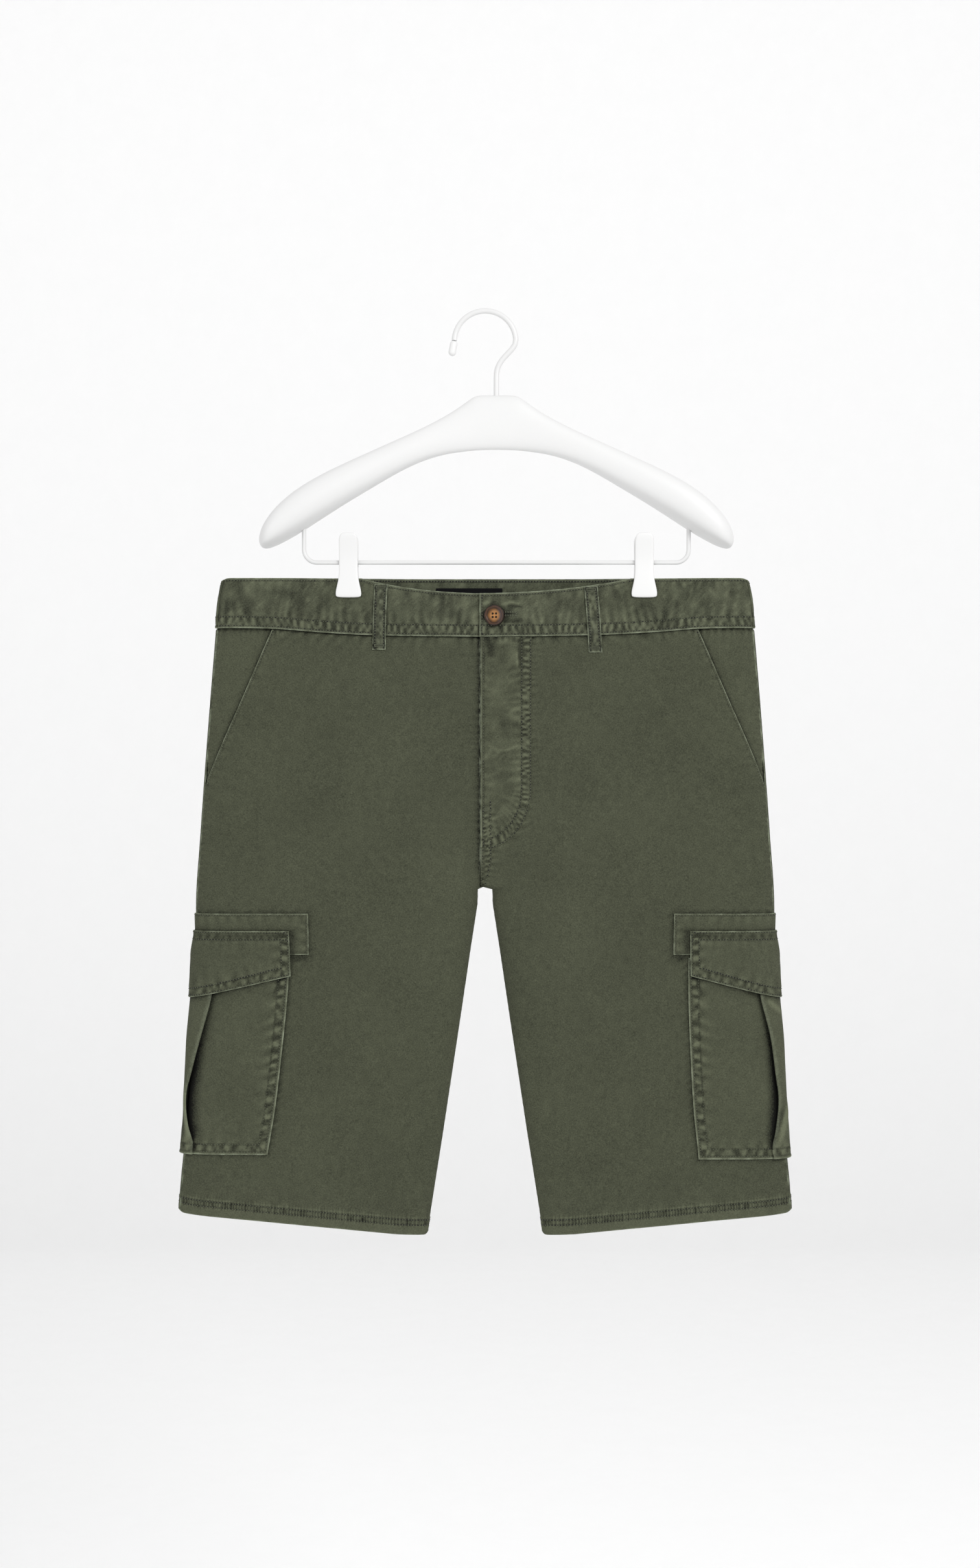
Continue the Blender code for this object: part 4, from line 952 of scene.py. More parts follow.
class Sewing:
    """Rows of raised stitches, gathered into one piece."""

    # Along the stitch, share of the thread's radius, and height over the cloth as a share of it.
    RINGS = ((-0.5, 0.0, -0.4), (-0.26, 1.0, 0.45), (0.26, 1.0, 0.45), (0.5, 0.0, -0.4))
    AROUND = ((1.0, 0.0), (0.0, 0.7), (-1.0, 0.0), (0.0, -0.5))
    HOLE_SIDES, HOLE_LENGTH, HOLE_WIDTH, HOLE_AHEAD = 6, 0.85, 0.76, 0.6
    HOLE_RIM, HOLE_TOP, HOLE_FOOT = 0.02, 0.09, -0.3  # heights over the cloth
    PAINTED_SHADE = -1.2  # painted shade: tone of the thread's ends and of the holes

    def __init__(self):
        self.runs = []

    def add(self, heads, tails, normals, radius, hole=True, tone=0.6):
        count = len(heads)
        same = (np.full(count, value) for value in (radius, hole, tone))
        self.runs.append((heads, tails, normals, *same))

    def row(self, cloth, path, through=0.0):
        """A row of stitches along a path of places on a cloth, or on its other face, through it."""
        look = bpy.context.scene.shorts_cloth
        pitch, length = look.stitch_pitch / MM, look.stitch_length / MM
        path = np.array(path, float)
        steps = run_of(path)
        dense = np.arange(0, steps[-1], 0.5)
        u, v = (np.interp(dense, steps, path[:, k]) for k in (0, 1))
        points, normals = cloth.at(u, v, -through)
        normals = -normals if through else normals
        along = run_of(points)
        starts = np.arange(0.4, along[-1] - length, pitch)
        starts = starts + 0.12 * pitch * wander(starts / pitch * 1.7, 17)

        def at(places, values):
            return np.stack([np.interp(places, along, values[:, k]) for k in range(3)], -1)

        self.add(at(starts, points), at(starts + length, points), at(starts + length / 2, normals),
                 look.thread_width / MM / 2)

    def tack(self, cloth, start, end, breadth=1.5, count=None, radius=0.24):
        """A bar tack: close stitches laid across the line from start to end."""
        start, end = np.array(start, float), np.array(end, float)
        length = np.hypot(*(end - start))
        along = (end - start) / length
        across = np.array([-along[1], along[0]]) * breadth / 2
        count = count or max(3, int(length / 0.5))
        shares = (np.arange(count)[:, None] + 0.5) / count
        places = start + (end - start) * shares
        lean = along * 0.2
        heads, normals = cloth.at(*(places - across - lean).T, TACK_RISE)
        tails, _ = cloth.at(*(places + across + lean).T, TACK_RISE)
        self.add(heads, tails, normals, radius, hole=False, tone=TACK_TONE)

    def make(self, name):
        """The piece: each stitch a lozenge of thread, with the needle hole past its end."""
        heads, tails, normals, radius, hole, tone = (np.concatenate(part) for part in zip(*self.runs))
        middle, along = (heads + tails) / 2, unit(tails - heads)
        length = np.linalg.norm(tails - heads, axis=1, keepdims=True)
        normals = unit(normals - along * (normals * along).sum(1, keepdims=True))
        across = np.cross(normals, along)
        radius = radius[:, None]
        points, tones = [], []
        for share, thick, high in self.RINGS:
            for side, up in self.AROUND if thick else ((0.0, 0.0),):
                offset = across * side * radius * thick + normals * radius * (up * thick + high)
                points.append(middle + along * length * share + offset)
                tones.append(tone if thick else tone + self.PAINTED_SHADE)
        faces = []
        for k in range(4):
            a, b = 1 + k, 1 + (k + 1) % 4
            faces += [(0, a, b), (a, a + 4, b), (b, a + 4, b + 4), (9, b + 4, a + 4)]
        stitch_faces = len(faces)
        # The needle hole is a flat lozenge painted dark: painted shade in the hole.
        first, sides = len(points), self.HOLE_SIDES
        centre = middle + along * (length / 2 + self.HOLE_AHEAD)
        for turn in range(sides):
            a = 2 * math.pi / sides * turn
            spread = along * math.cos(a) * self.HOLE_LENGTH + across * math.sin(a) * self.HOLE_WIDTH
            points.append(centre + spread + normals * self.HOLE_RIM)
        points += [centre + normals * up for up in (self.HOLE_TOP, self.HOLE_FOOT)]
        tones += [np.full(len(tone), self.PAINTED_SHADE)] * (sides + 2)
        for k in range(sides):
            a, b = first + k, first + (k + 1) % sides
            faces += [(a, b, first + sides), (b, a, first + sides + 1)]
        points = np.stack(points, 1)
        count, each = points.shape[:2]
        faces = np.array(faces)
        used = np.ones((count, len(faces)), bool)
        used[:, stitch_faces:] = hole[:, None]
        faces = (faces[None] + (np.arange(count) * each)[:, None, None])[used]
        wanted, faces = np.unique(faces, return_inverse=True)
        faces = faces.reshape(-1, 3)
        points, tones = points.reshape(-1, 3)[wanted], np.stack(tones, 1).ravel()[wanted]
        a, b, c = (points[faces[:, k]] for k in range(3))
        if (a * np.cross(b, c)).sum() < 0:
            faces = faces[:, ::-1]
        obj = mesh_object(name, points, faces, "olive_thread", tone=tones)
        return keep(obj, "cloth")


# ---------------------------------------------------------------- pockets' outline


def pocket_row(side):
    return next(dict(zip(POCKET_COLUMNS, row)) for row in POCKETS if SIDES[row[0]] == side)


def bag_reach(row, z):
    return mix(row["bag_top"], row["bag_low"], (BAG_TOP_Z - z) / (BAG_TOP_Z - row["bag_low_z"]))


def inside_pocket(side, w, z):
    """How far a place lies inside the outline of the cargo pocket; less than 0 outside it."""
    row = pocket_row(side)
    patch = least(row["patch"] - np.abs(w), PATCH_TOP_Z - z, z - PATCH_LOW_Z + 4.0)
    bag = least(bag_reach(row, z) - np.abs(w), BAG_TOP_Z - z, z - row["bag_low_z"])
    return np.maximum(patch, bag)


FLY_START_X = CENTRE_SEAM_X + HALF_GAP
FLY_WIDTH = FLY_X - FLY_START_X


def inside_fly(x, z):
    """How far a place lies inside the fly's rounded edge, and how far along that edge."""
    across = np.maximum(x - FLY_START_X, 0.01)
    below = np.maximum(FLY_STRAIGHT_END_Z - z, 0)
    q = np.hypot(across / FLY_WIDTH, below / FLY_ROUND)
    slope = np.hypot(across / FLY_WIDTH**2, below / FLY_ROUND**2) / q
    along = np.minimum(FLY_STRAIGHT_END_Z - z, 0) + FLY_ROUND * np.arctan2(below, across)
    return (1 - q) / slope, along


def fly_path(inset):
    """The line of stitches at that distance inside the fly's edge, as (x, z)."""
    width, depth = FLY_WIDTH - inset, FLY_ROUND - inset
    path = [(FLY_START_X + width, FRONT_LOW[0][1] - 1.0)]
    for a in np.radians(np.linspace(0, 82, 24)):
        path.append((FLY_START_X + width * math.cos(a), FLY_STRAIGHT_END_Z - depth * math.sin(a)))
    return path


# ---------------------------------------------------------------- panels

PANEL_ABOVE = 236.0  # length of a panel above the crotch


def panel_span(side, face, z):
    """Where a panel starts at the side and ends at the middle, as distances from the side fold."""
    start = mouth_w(z) + HALF_GAP if face > 0 else np.full(np.shape(z), HALF_GAP - SIDE_SEAM)
    return start, girth(side, face, z)


def panel_top(side, face, share):
    if face < 0:
        return np.full(np.shape(share), BACK_BAND_LOW_Z - SEAM_GAP)
    waist = girth(side, face, BACK_BAND_LOW_Z)
    return front_band_low(waist - mix(MOUTH_TOP_W, waist, share)) - SEAM_GAP


def panel_hem(share):
    return hem_z(mix(HEM_OUTER_X, HEM_INNER_X, share))


def panel_rims(side, face, w, z):
    """Distances of a place from a panel's side edge, middle edge, upper edge and lower edge."""
    start, total = panel_span(side, face, z)
    reach = face * w
    share = np.clip((reach - start) / (total - start), 0, 1)
    return reach - start, total - reach, panel_top(side, face, share) - z, z - panel_hem(share)


def under_band(side, face, w, z, from_top):
    """How far a panel sinks to run on up under the waistband, and under its doubled ends."""
    step = DOUBLED_STEP if side > 0 else UNDERLAP_STEP
    doubled = ease(flat_x(side, face, w, z), *step) * (face > 0)
    sink = UNDER_BAND_SINK + doubled * (BAND_OUT - BAND_IN + SEAM_GAP)
    return sink * ease(from_top, 1.8 + 2.0 * doubled, 1.2 * doubled - 1.2)


def panel_shadow_and_tone(side, face):
    """How much darker the cloth is painted: painted shadow beside the waistband, the fly and the
    pockets that lie on it, added to the panels' own darker tone.
    """

    def shade(w, z):
        _, from_middle, from_top, _ = panel_rims(side, face, w, z)
        dark = PANEL_SHADE + 0.6 * contact_shadow(from_top) + 0.6 * contact_shadow(-inside_pocket(side, w, z))
        if side < 0 < face:
            dark = dark + 1.3 * contact_shadow(0.75 * from_middle) * ease(z, CROTCH_Z, CROTCH_Z + 20.0)
        return dark

    return shade


def panel_relief(side, face):
    """Relief of a panel: its seams, the stitches beside them, and puckers beside what covers it."""
    seed = int(20 + 5 * side + 11 * face)

    def relief(w, z):
        from_side, from_middle, from_top, from_hem = panel_rims(side, face, w, z)
        x = flat_x(side, face, w, z)
        up = (0.5 * ripple(x, seed, BAND_RIPPLES) + 0.06) * np.exp(-np.maximum(from_top, 0) / 5.0)
        at_mouth = ease(z, MOUTH_END_Z - 8.0, MOUTH_END_Z + 8.0) * (face > 0)
        up = up + at_mouth * sewn(from_side, z, (MOUTH_LINE,), 0.26, seed + 1, 3.0)
        up = up * ease(from_top, -0.5, 1.5)
        up = up + (1 - at_mouth) * 0.3 * ripple(z, seed + 2, 5.5) * np.exp(-from_side / 2.6)
        rise = ease(z, CROTCH_Z - 5.0, CROTCH_Z + 5.0) * (side > 0)
        if face > 0:
            rise = rise * ease(z, -450.0, -466.0)
        up = up + rise * sewn(from_middle, z, RISE_LINES, 0.46, seed + 3, 4.0, RISE_RIPPLES)
        up = up + (1 - rise) * 0.24 * ripple(z, seed + 4, 6.0) * np.exp(-from_middle / 4.0)
        up = up + sewn(from_hem, w, HEM_LINES, 0.12, seed + 5, 6.0, HEM_RIPPLES)
        # A roped ridge just above the hem's upper row, and slacker cloth below its lower one.
        up = up + 0.17 * bump(from_hem - HEM_ROPE, 1.0) * (1 + 0.6 * wander(w / 8.0, seed + 8))
        up = up + 0.02 * ease(from_hem, HEM_LINES[0], HEM_LINES[0] - 2.0)
        if side > 0 and face > 0:
            inside, along = inside_fly(x, z)
            beside = 0.3 * ripple(along, 5, 6.0) * np.exp(np.minimum(inside, 0) / 4.0)
            covered, near = (inside > 0) & (z > FLY_END_Z), z > FLY_END_Z - 8.0
            up = np.where(covered, 0.15 * up, up + beside * near)
        inside = inside_pocket(side, w, z)
        beside = 0.24 * ripple(z + 0.6 * w, seed + 6, 6.0) * np.exp(np.minimum(inside, 0) / 3.4)
        return (up + beside) * ease(inside, 1.5, -0.5)

    return relief


def panel_cloth(side, face):
    def hemmed(w, z):
        return ease(HEM_DEPTH - panel_rims(side, face, w, z)[3], 0.0, HEM_STEP)

    def lift(w, z):
        from_top = panel_rims(side, face, w, z)[2]
        return HEM_OUT * hemmed(w, z) - under_band(side, face, w, z, from_top)

    def thick(w, z):
        from_top = panel_rims(side, face, w, z)[2]
        thinned = (CLOTH - UNDER_BAND_CLOTH) * ease(from_top, 1.8, -0.3)
        return CLOTH - thinned + (HEM_OUT - HEM_IN - CLOTH) * hemmed(w, z)

    return Cloth(round_side(side), lift, thick, panel_relief(side, face), panel_shadow_and_tone(side, face))


def add_panel(face_name, side_name):
    """One front or back panel of a leg, from the waist to the hem."""
    face, side = FACES[face_name], SIDES[side_name]
    share = stations(210.0 if face > 0 else 268.0, 9.0, 14.0 if side > 0 else 8.0, 4.4, 1.1)
    top = panel_top(side, face, share) + UNDER_BAND
    low = panel_hem(share) + HEM_DEPTH
    crotch = (top[-1] - CROTCH_Z) / (top[-1] - low[-1])
    arch = crotch + CROTCH_ARCH / (top[-1] - low[-1])
    above = stations(PANEL_ABOVE, 9.0, 2.0, 1.5 if face > 0 else 3.2) * crotch
    # The rim's close rows aren't needed where the rows only pass the crotch.
    above = np.append(above[above < crotch * 0.994], crotch)
    body = np.append(above, mix(arch, 1.0, np.linspace(0, 1, 88)))[:, None]
    hem = (0.4, 0.8, 1.5, *np.arange(2.4, 16.0, 0.95), 16.4, 16.7, 16.9, HEM_DEPTH)
    z = np.concatenate([mix(top, low, body), low - np.array(hem)[:, None]])
    start, total = panel_span(side, face, z)
    w = face * mix(start, total, share)
    from_side, from_middle, from_top, from_hem = panel_rims(side, face, w, z)
    edge = np.maximum(least(from_side, from_middle, from_top + UNDER_BAND, from_hem), 0)
    rests = ["waistband_back" if face < 0 else f"waistband_front_{side_name}"]
    obj = panel_cloth(side, face).make(f"{face_name}_{side_name}", w, z, edge, rests)
    upper, lower = HEM_LINES[1], HEM_LINES[0]
    gathered = ease(from_hem, 6.0, lower) * ease(from_hem, upper + 6.0, upper - 1.0)
    mark(obj, gathered=np.tile(gathered.ravel(), 2))


def add_hip_facing(side_name):
    """The hip piece that shows beside the slanted mouth, running under the front panel's edge."""
    side = SIDES[side_name]
    start = SIDE_SEAM + HALF_GAP
    seam = float(panel_top(side, 1.0, 0.0)) - SEAM_GAP
    top = seam + UNDER_BAND
    z = (top + (FACING_END_Z - top) * stations(top - FACING_END_Z, 6.0, 2.0, 2.0))[:, None]
    share = stations(60.0, 8.0, 2.0, 2.2)
    end = mouth_w(z) + FACING_UNDERLAP
    w = start + (end - start) * share
    z = np.broadcast_to(z, w.shape)

    def lift(w, z):
        slipped = (CLOTH + SEAM_GAP) * ease(w, mouth_w(z) - 12.0, mouth_w(z) - 4.0)
        return -slipped - UNDER_BAND_SINK * ease(seam - z, 1.8, -1.2)

    def thick(w, z):
        return CLOTH - (CLOTH - UNDER_BAND_CLOTH) * ease(seam - z, 1.8, -0.3)

    def relief(w, z):
        x = flat_x(side, 1.0, w, z)
        up = 0.36 * ripple(x, 71, BAND_RIPPLES) * np.exp(np.minimum(z - front_band_low(x), 0) / 5.0)
        up = up + 0.3 * ripple(z, 72, 5.5) * np.exp((start - w) / 2.6)
        return up * ease(mouth_w(z) - w, 0, 3.0)

    # Painted shadow beside the front panel's edge at the mouth and under the waistband.
    def shade(w, z):
        return 0.9 * contact_shadow(mouth_w(z) - w) + 0.6 * contact_shadow(seam - z)

    edge = least(w - start, end - w, top - z, z - FACING_END_Z)
    cloth = Cloth(round_side(side), lift, thick, relief, shade)
    cloth.make(f"hip_facing_{side_name}", w, z, edge, [f"waistband_front_{side_name}"])


def sew_panels():
    """Rows of stitches at the pocket mouths, the hems and the rise."""
    sewing = Sewing()
    for side_name, side in SIDES.items():
        front = panel_cloth(side, 1.0)
        down = np.linspace(BACK_BAND_LOW_Z - 2.0, MOUTH_END_Z + 2.0, 60)
        sewing.row(front, [(float(mouth_w(z)) + MOUTH_LINE + HALF_GAP, z) for z in down])
        for face in (1.0, -1.0):
            cloth = panel_cloth(side, face)
            for line in HEM_LINES:
                path = []
                for share in np.linspace(0.004, 0.996, 90):
                    z = float(panel_hem(share)) + line
                    start, total = panel_span(side, face, np.array(z))
                    path.append((float(face * mix(start, total, share)), z))
                sewing.row(cloth, path)
    for face, top in ((1.0, FLY_END_Z + 8.0), (-1.0, BACK_BAND_LOW_Z - 2.0)):
        cloth = panel_cloth(1.0, face)
        for line in RISE_LINES:
            heights = np.linspace(top, CROTCH_Z + 1.0, 60)
            sewing.row(cloth, [(face * (float(girth(1.0, face, z)) - line), z) for z in heights])
    return sewing.make("stitching_panels")


# ---------------------------------------------------------------- waistband, fly, loops, label


# The cloth puckers round the buttonhole: x and z of both ends, breadth, height.
BUTTONHOLE_FOLDS = (
    (16.0, -270.6, 24.3, -268.8, 1.5, 0.55),
    (24.3, -268.8, 31.0, -270.8, 1.5, 0.5),
    (21.5, -272.0, 33.0, -272.6, 1.4, -0.5),
    (19.0, -286.6, 33.0, -285.4, 1.8, -0.45),
    (18.0, -289.6, 31.0, -288.8, 1.8, 0.35),
    (-2.0, -271.0, 3.5, -268.6, 1.6, 0.35),
)


# Short folds of the fly's doubled cloth, in the same way.
FLY_FOLDS = (
    (3.0, -303.0, 6.5, -318.0, 3.0, -0.5),
    (33.5, -302.0, 31.5, -330.0, 3.0, -0.5),
    (29.0, -316.0, 30.0, -328.0, 1.4, 0.5),
    (12.0, -306.0, 22.0, -303.0, 2.4, 0.3),
    (3.0, -400.0, 12.0, -405.0, 1.0, 0.22),
    (11.0, -405.5, 21.0, -404.0, 1.0, 0.2),
    (20.0, -404.5, 30.0, -400.0, 1.1, 0.22),
    (6.0, -411.0, 13.0, -407.0, 1.2, 0.16),
    (24.0, -369.0, 31.0, -364.0, 1.3, 0.2),
    (16.0, -447.0, 26.0, -450.0, 1.4, 0.18),
    (5.0, -468.0, 16.0, -464.0, 1.5, 0.2),
)


def drawn(folds, x, z):
    """Relief of a table of short folds."""
    return sum(height * short_fold(x, z, *ends, breadth) for *ends, breadth, height in folds)


def band_relief(face, end_x=None):
    seed = 31 if face > 0 else 37

    def relief(x, z):
        low = front_band_low(x) if face > 0 else BACK_BAND_LOW_Z
        top = front_band_top(x) if face > 0 else BACK_BAND_TOP_Z
        up = sewn(z - low, x, BAND_LINES, 0.44, seed, 10.0) + wisps(x, z, seed, 0.23)
        up = up + sewn(top - z, x, (BAND_TOP_LINE,), 0.3, seed + 1, 5.0)
        if end_x is not None:
            up = up + sewn(x - end_x, z, (BAND_TOP_LINE,), 0.26, seed + 2, 4.0)
            up = up + drawn(BUTTONHOLE_FOLDS, x, z)
        for clip_x in CLIP_X.values():
            beside = ease(np.abs(x - clip_x), CLIP_HALF_WIDTH + 6.0, CLIP_HALF_WIDTH)
            up = up * (1 - 0.8 * beside * ease(z, -272.0, -264.0))
        return up

    return relief


def band_cloth(face, under=None, end_x=None):
    """A strip of the waistband: its end steps under the other's, or its end at end_x is buttoned."""

    def lift(x, z):
        hidden = ease(x, *UNDERLAP_STEP) if under else 0.0
        return BAND_OUT - hidden * (BAND_OUT - BAND_IN + SEAM_GAP)

    # Painted shade in the buttonhole's slit, and a painted shadow in a ring round the button's edge.
    def shade(x, z):
        buttonhole_shade = short_fold(x, z, BUTTON_X, BUTTONHOLE_Z, BUTTONHOLE_END_X, BUTTONHOLE_Z, 2.2)
        button_shadow_ring = bump(np.hypot(x - BUTTON_X, z - BUTTON_Z) - BUTTON_RADIUS, 2.6)
        return 0.8 * buttonhole_shade + 0.5 * button_shadow_ring

    painted_button_shade = 0.0 if end_x is None else shade
    return Cloth(along_band(face), lift, BAND_OUT - BAND_IN, band_relief(face, end_x), painted_button_shade)


CLIPS = [f"clip_{face}_{side}" for face in FACES for side in SIDES]


def add_front_band(side_name):
    """One front half of the waistband. The right one runs on under the left one's buttoned end."""
    side = SIDES[side_name]
    end_x = BAND_UNDERLAP_X if side < 0 else BAND_EDGE_X
    fold_x = side * (float(flat_reach(1.0, BACK_BAND_TOP_Z)) - SIDE_SEAM - HALF_GAP)
    x = fold_x + (end_x - fold_x) * stations(abs(end_x - fold_x), 3.0, 5.0, 1.15)
    share = stations(50.0, 7.0, 13.0, 1.6, 0.9)[:, None]
    top, low = front_band_top(x), front_band_low(x)
    z = mix(top, low, share)
    x = np.broadcast_to(x, z.shape)
    frayed = least(top - z, z - low, np.abs(x - end_x))
    edge = np.minimum(frayed, np.abs(x - fold_x))
    cloth = band_cloth(1.0, side < 0, end_x if side > 0 else None)
    rests = [clip for clip in CLIPS if clip.endswith(side_name)]
    worn = 0.02 + 0.2 * bump(frayed - 0.5, 0.8)
    cloth.make(f"waistband_front_{side_name}", x, z, edge, rests, worn, frayed)


def add_back_band():
    """The back of the waistband, one strip from side seam to side seam."""
    end = float(flat_reach(-1.0, BACK_BAND_TOP_Z)) + SIDE_SEAM - HALF_GAP
    x = end * (2 * stations(2 * end, 4.0, 4.0, 1.5) - 1)
    share = stations(46.0, 6.0, 12.0, 1.8, 1.0)[:, None]
    x, z = np.broadcast_arrays(x, mix(BACK_BAND_TOP_Z, BACK_BAND_LOW_Z, share))
    frayed = np.minimum(BACK_BAND_TOP_Z - z, z - BACK_BAND_LOW_Z)
    edge = np.minimum(frayed, end - np.abs(x))
    band_cloth(-1.0).make("waistband_back", x, z, edge, CLIPS, 0.05, frayed)


def sew_bands():
    """Rows of stitches round the waistband, inside its back too, and along its buttoned end."""
    sewing = Sewing()
    for side in SIDES.values():
        start = side * (float(flat_reach(1.0, BACK_BAND_TOP_Z)) - SIDE_SEAM - 1.0)
        end = BAND_EDGE_X + 1.0 if side > 0 else BAND_EDGE_X - 0.6
        xs = np.linspace(start, end, 200)
        cloth = band_cloth(1.0, side < 0, BAND_EDGE_X if side > 0 else None)
        sewing.row(cloth, [(x, float(front_band_top(x)) - BAND_TOP_LINE) for x in xs])
        for line in BAND_LINES:
            sewing.row(cloth, [(x, float(front_band_low(x)) + line) for x in xs])
    left = band_cloth(1.0, end_x=BAND_EDGE_X)
    edge_x = BAND_EDGE_X + BAND_TOP_LINE
    top, low = float(front_band_top(edge_x)), float(front_band_low(edge_x))
    sewing.row(left, [(edge_x, top - BAND_TOP_LINE), (edge_x, low + BAND_LINES[0])])
    back = band_cloth(-1.0)
    end = float(flat_reach(-1.0, BACK_BAND_TOP_Z)) + SIDE_SEAM - 1.0
    top = BACK_BAND_TOP_Z - BAND_TOP_LINE
    for z in (top, *(BACK_BAND_LOW_Z + line for line in BAND_LINES)):
        sewing.row(back, [(-end, z), (end, z)])
    sewing.row(back, [(8.0 - end, top), (end - 8.0, top)], through=BAND_OUT - BAND_IN)
    return sewing.make("stitching_waistband")


def fly_cloth():
    """The fly's doubled strip, which thins to nothing much where its stitched edge lies."""
    def thick(x, z):
        inside, _ = inside_fly(x, z)
        return mix(0.32, 0.9, ease(inside, 0.0, 3.0))

    def lift(x, z):
        return SEAM_GAP + thick(x, z)

    def relief(x, z):
        inside, along = inside_fly(x, z)
        up = sewn(inside, along, FLY_LINES, 0.42, 5, 8.0, FLY_RIPPLES) + wisps(x, z, 54, 0.15)
        up = up + sewn(x - CENTRE_SEAM_X, z, (FLY_EDGE_LINE,), 0.26, 52, 5.0) + drawn(FLY_FOLDS, x, z)
        low_share = ease(z, FLY_TACK_Z + 8.0, FLY_TACK_Z - 6.0)
        up = up + low_share * sewn(x - CENTRE_SEAM_X, z, RISE_LINES, 0.46, 53, 4.0, RISE_RIPPLES)
        return up + 0.4 * ripple(x, 51, BAND_RIPPLES) * np.exp((z - FRONT_LOW[0][1]) / 5.0)

    # The shade is a painted shadow under the waistband's lower edge.
    return Cloth(flat_on(1.0), lift, thick, relief, lambda x, z: 0.6 * contact_shadow(front_band_low(x) - z))


def add_fly():
    """The strip of the fly, straight down from the waistband and rounded in at its foot."""
    top = FRONT_LOW[0][1] - SEAM_GAP
    z_edge = top + (FLY_END_Z - top) * stations(top - FLY_END_Z, 5.0, 4.0, 1.2)
    share = stations(47.0, 3.0, 14.0, 1.7, 0.9)
    below = np.clip((FLY_STRAIGHT_END_Z - z_edge) / FLY_ROUND, 0, 1)
    width = FLY_WIDTH * np.sqrt(1 - below**2)
    x = FLY_START_X + width[:, None] * share
    z = np.repeat(z_edge[:, None], len(share), 1)
    top_line = front_band_low(x[0]) - SEAM_GAP
    z = z + (top_line - z[0]) * ease(z, top - 8.0, top)
    from_end = x - x[0, 0]
    edge = least(from_end, inside_fly(x, z)[0], top_line - z, z - FLY_END_Z)
    rests = ["waistband_front_left", "front_left"]
    cloth = fly_cloth()
    cloth.make("fly_placket", x, z, np.maximum(edge, 0), rests, frayed=from_end)
    sewing = Sewing()
    for line in FLY_LINES:
        sewing.row(cloth, fly_path(line))
    edge_x = CENTRE_SEAM_X + FLY_EDGE_LINE
    sewing.row(cloth, [(edge_x, top - 1.0), (edge_x, FLY_END_Z + 1.0)])
    lower_x = CENTRE_SEAM_X + RISE_LINES[1]
    sewing.row(cloth, [(lower_x, FLY_TACK_Z + 9.0), (lower_x, FLY_END_Z + 1.0)])
    for x in (edge_x + 0.4, FLY_X - FLY_LINES[1] - 2.0):
        for z in (FLY_TACK_Z - 0.8, FLY_TACK_Z + 0.8):
            sewing.tack(cloth, (x, z), (x + 4.6, z), 1.2)
    return sewing.make("stitching_fly")


def loop_middle(top_x, low_x, top, z):
    return mix(top_x, low_x, (top - z) / LOOP_LENGTH)


def loop_cloth(top_x, low_x, face):
    top = float(front_band_top(top_x)) - 1.0 if face > 0 else BACK_BAND_TOP_Z - 1.0
    seam = float(front_band_low(top_x)) if face > 0 else BACK_BAND_LOW_Z

    def lift(x, z):
        share = (top - z) / LOOP_LENGTH
        bow = 0.9 * np.sin(np.clip(share / 0.76, 0, 1) * math.pi)
        return LOOP_GAP + BAND_OUT * ease(z, seam - 7.0, seam - 0.8) + bow + LOOP_CLOTH

    def rims(x, z):
        ends = sum(bump(top - z - down, 1.8) for down in LOOP_TACKS)
        return LOOP_WIDTH / 2 - np.abs(x - loop_middle(top_x, low_x, top, z)), ends

    def relief(x, z):
        from_edge, ends = rims(x, z)
        up = 0.45 * dapple(x / 2.4, z / 3.3, 9) * ease(from_edge, LOOP_LINE, 3.6)
        up = up - 0.26 * bump(from_edge - LOOP_LINE, 0.6)
        return up + 0.22 * ripple(z, 33, 3.4) * ease(from_edge, 3.0, 1.5) - 0.3 * ends

    # Painted shade along each stitched edge and round the tacks.
    def shade(x, z):
        from_edge, ends = rims(x, z)
        return 0.7 * bump(from_edge - 1.6, 1.0) + 0.35 * ends

    return Cloth(flat_on(face), lift, LOOP_CLOTH, relief, shade), top


def add_loop(name, top_x, low_x, face, sewing):
    """A strap over the waistband, edged with stitches and tacked down at both ends."""
    cloth, top = loop_cloth(top_x, low_x, face)
    z = (top - LOOP_LENGTH * stations(LOOP_LENGTH, 6.0, 6.0, 1.2, 0.8))[:, None]
    across = LOOP_WIDTH * (stations(LOOP_WIDTH, 3.4, 3.4, 0.9, 0.5) - 0.5)
    x, z = np.broadcast_arrays(loop_middle(top_x, low_x, top, z) + across, z)
    edge = least(LOOP_WIDTH / 2 - np.abs(across), top - z, z - top + LOOP_LENGTH)
    band = "waistband_front_left" if top_x > 0 else "waistband_front_right"
    fray = 0.07 + 0.08 * dapple(x / 1.6, z / 2.0, 12)
    cloth.make(name, x, z, edge, [band if face > 0 else "waistband_back"], fray)
    heights = np.linspace(top - 2.0, top - LOOP_LENGTH + 2.0, 20)
    for offset in (LOOP_LINE - LOOP_WIDTH / 2, LOOP_WIDTH / 2 - LOOP_LINE):
        sewing.row(cloth, [(loop_middle(top_x, low_x, top, h) + offset, h) for h in heights])
    for down in LOOP_TACKS:
        middle = loop_middle(top_x, low_x, top, top - down)
        for z in (top - down - 0.8, top - down + 0.8):
            sewing.tack(cloth, (middle - 4.6, z), (middle + 4.6, z), 1.3)


def add_label():
    """The plain black label, sewn inside the back of the waistband."""
    (start, end), (top, low) = LABEL_X, LABEL_Z
    x = mix(start, end, stations(end - start, 3.0, 3.0, 1.6))
    x, z = np.broadcast_arrays(x, mix(top, low, stations(top - low, 3.0, 3.0, 1.6))[:, None])
    edge = least(x - start, end - x, top - z, z - low)
    cloth = Cloth(flat_on(-1.0), BAND_IN - SEAM_GAP, LABEL_THICK, band_relief(-1.0))
    made = {"slot": "label", "finish_name": "woven_label"}
    cloth.make("label", x, z, edge, ["waistband_back"], **made)


# ---------------------------------------------------------------- cargo pockets


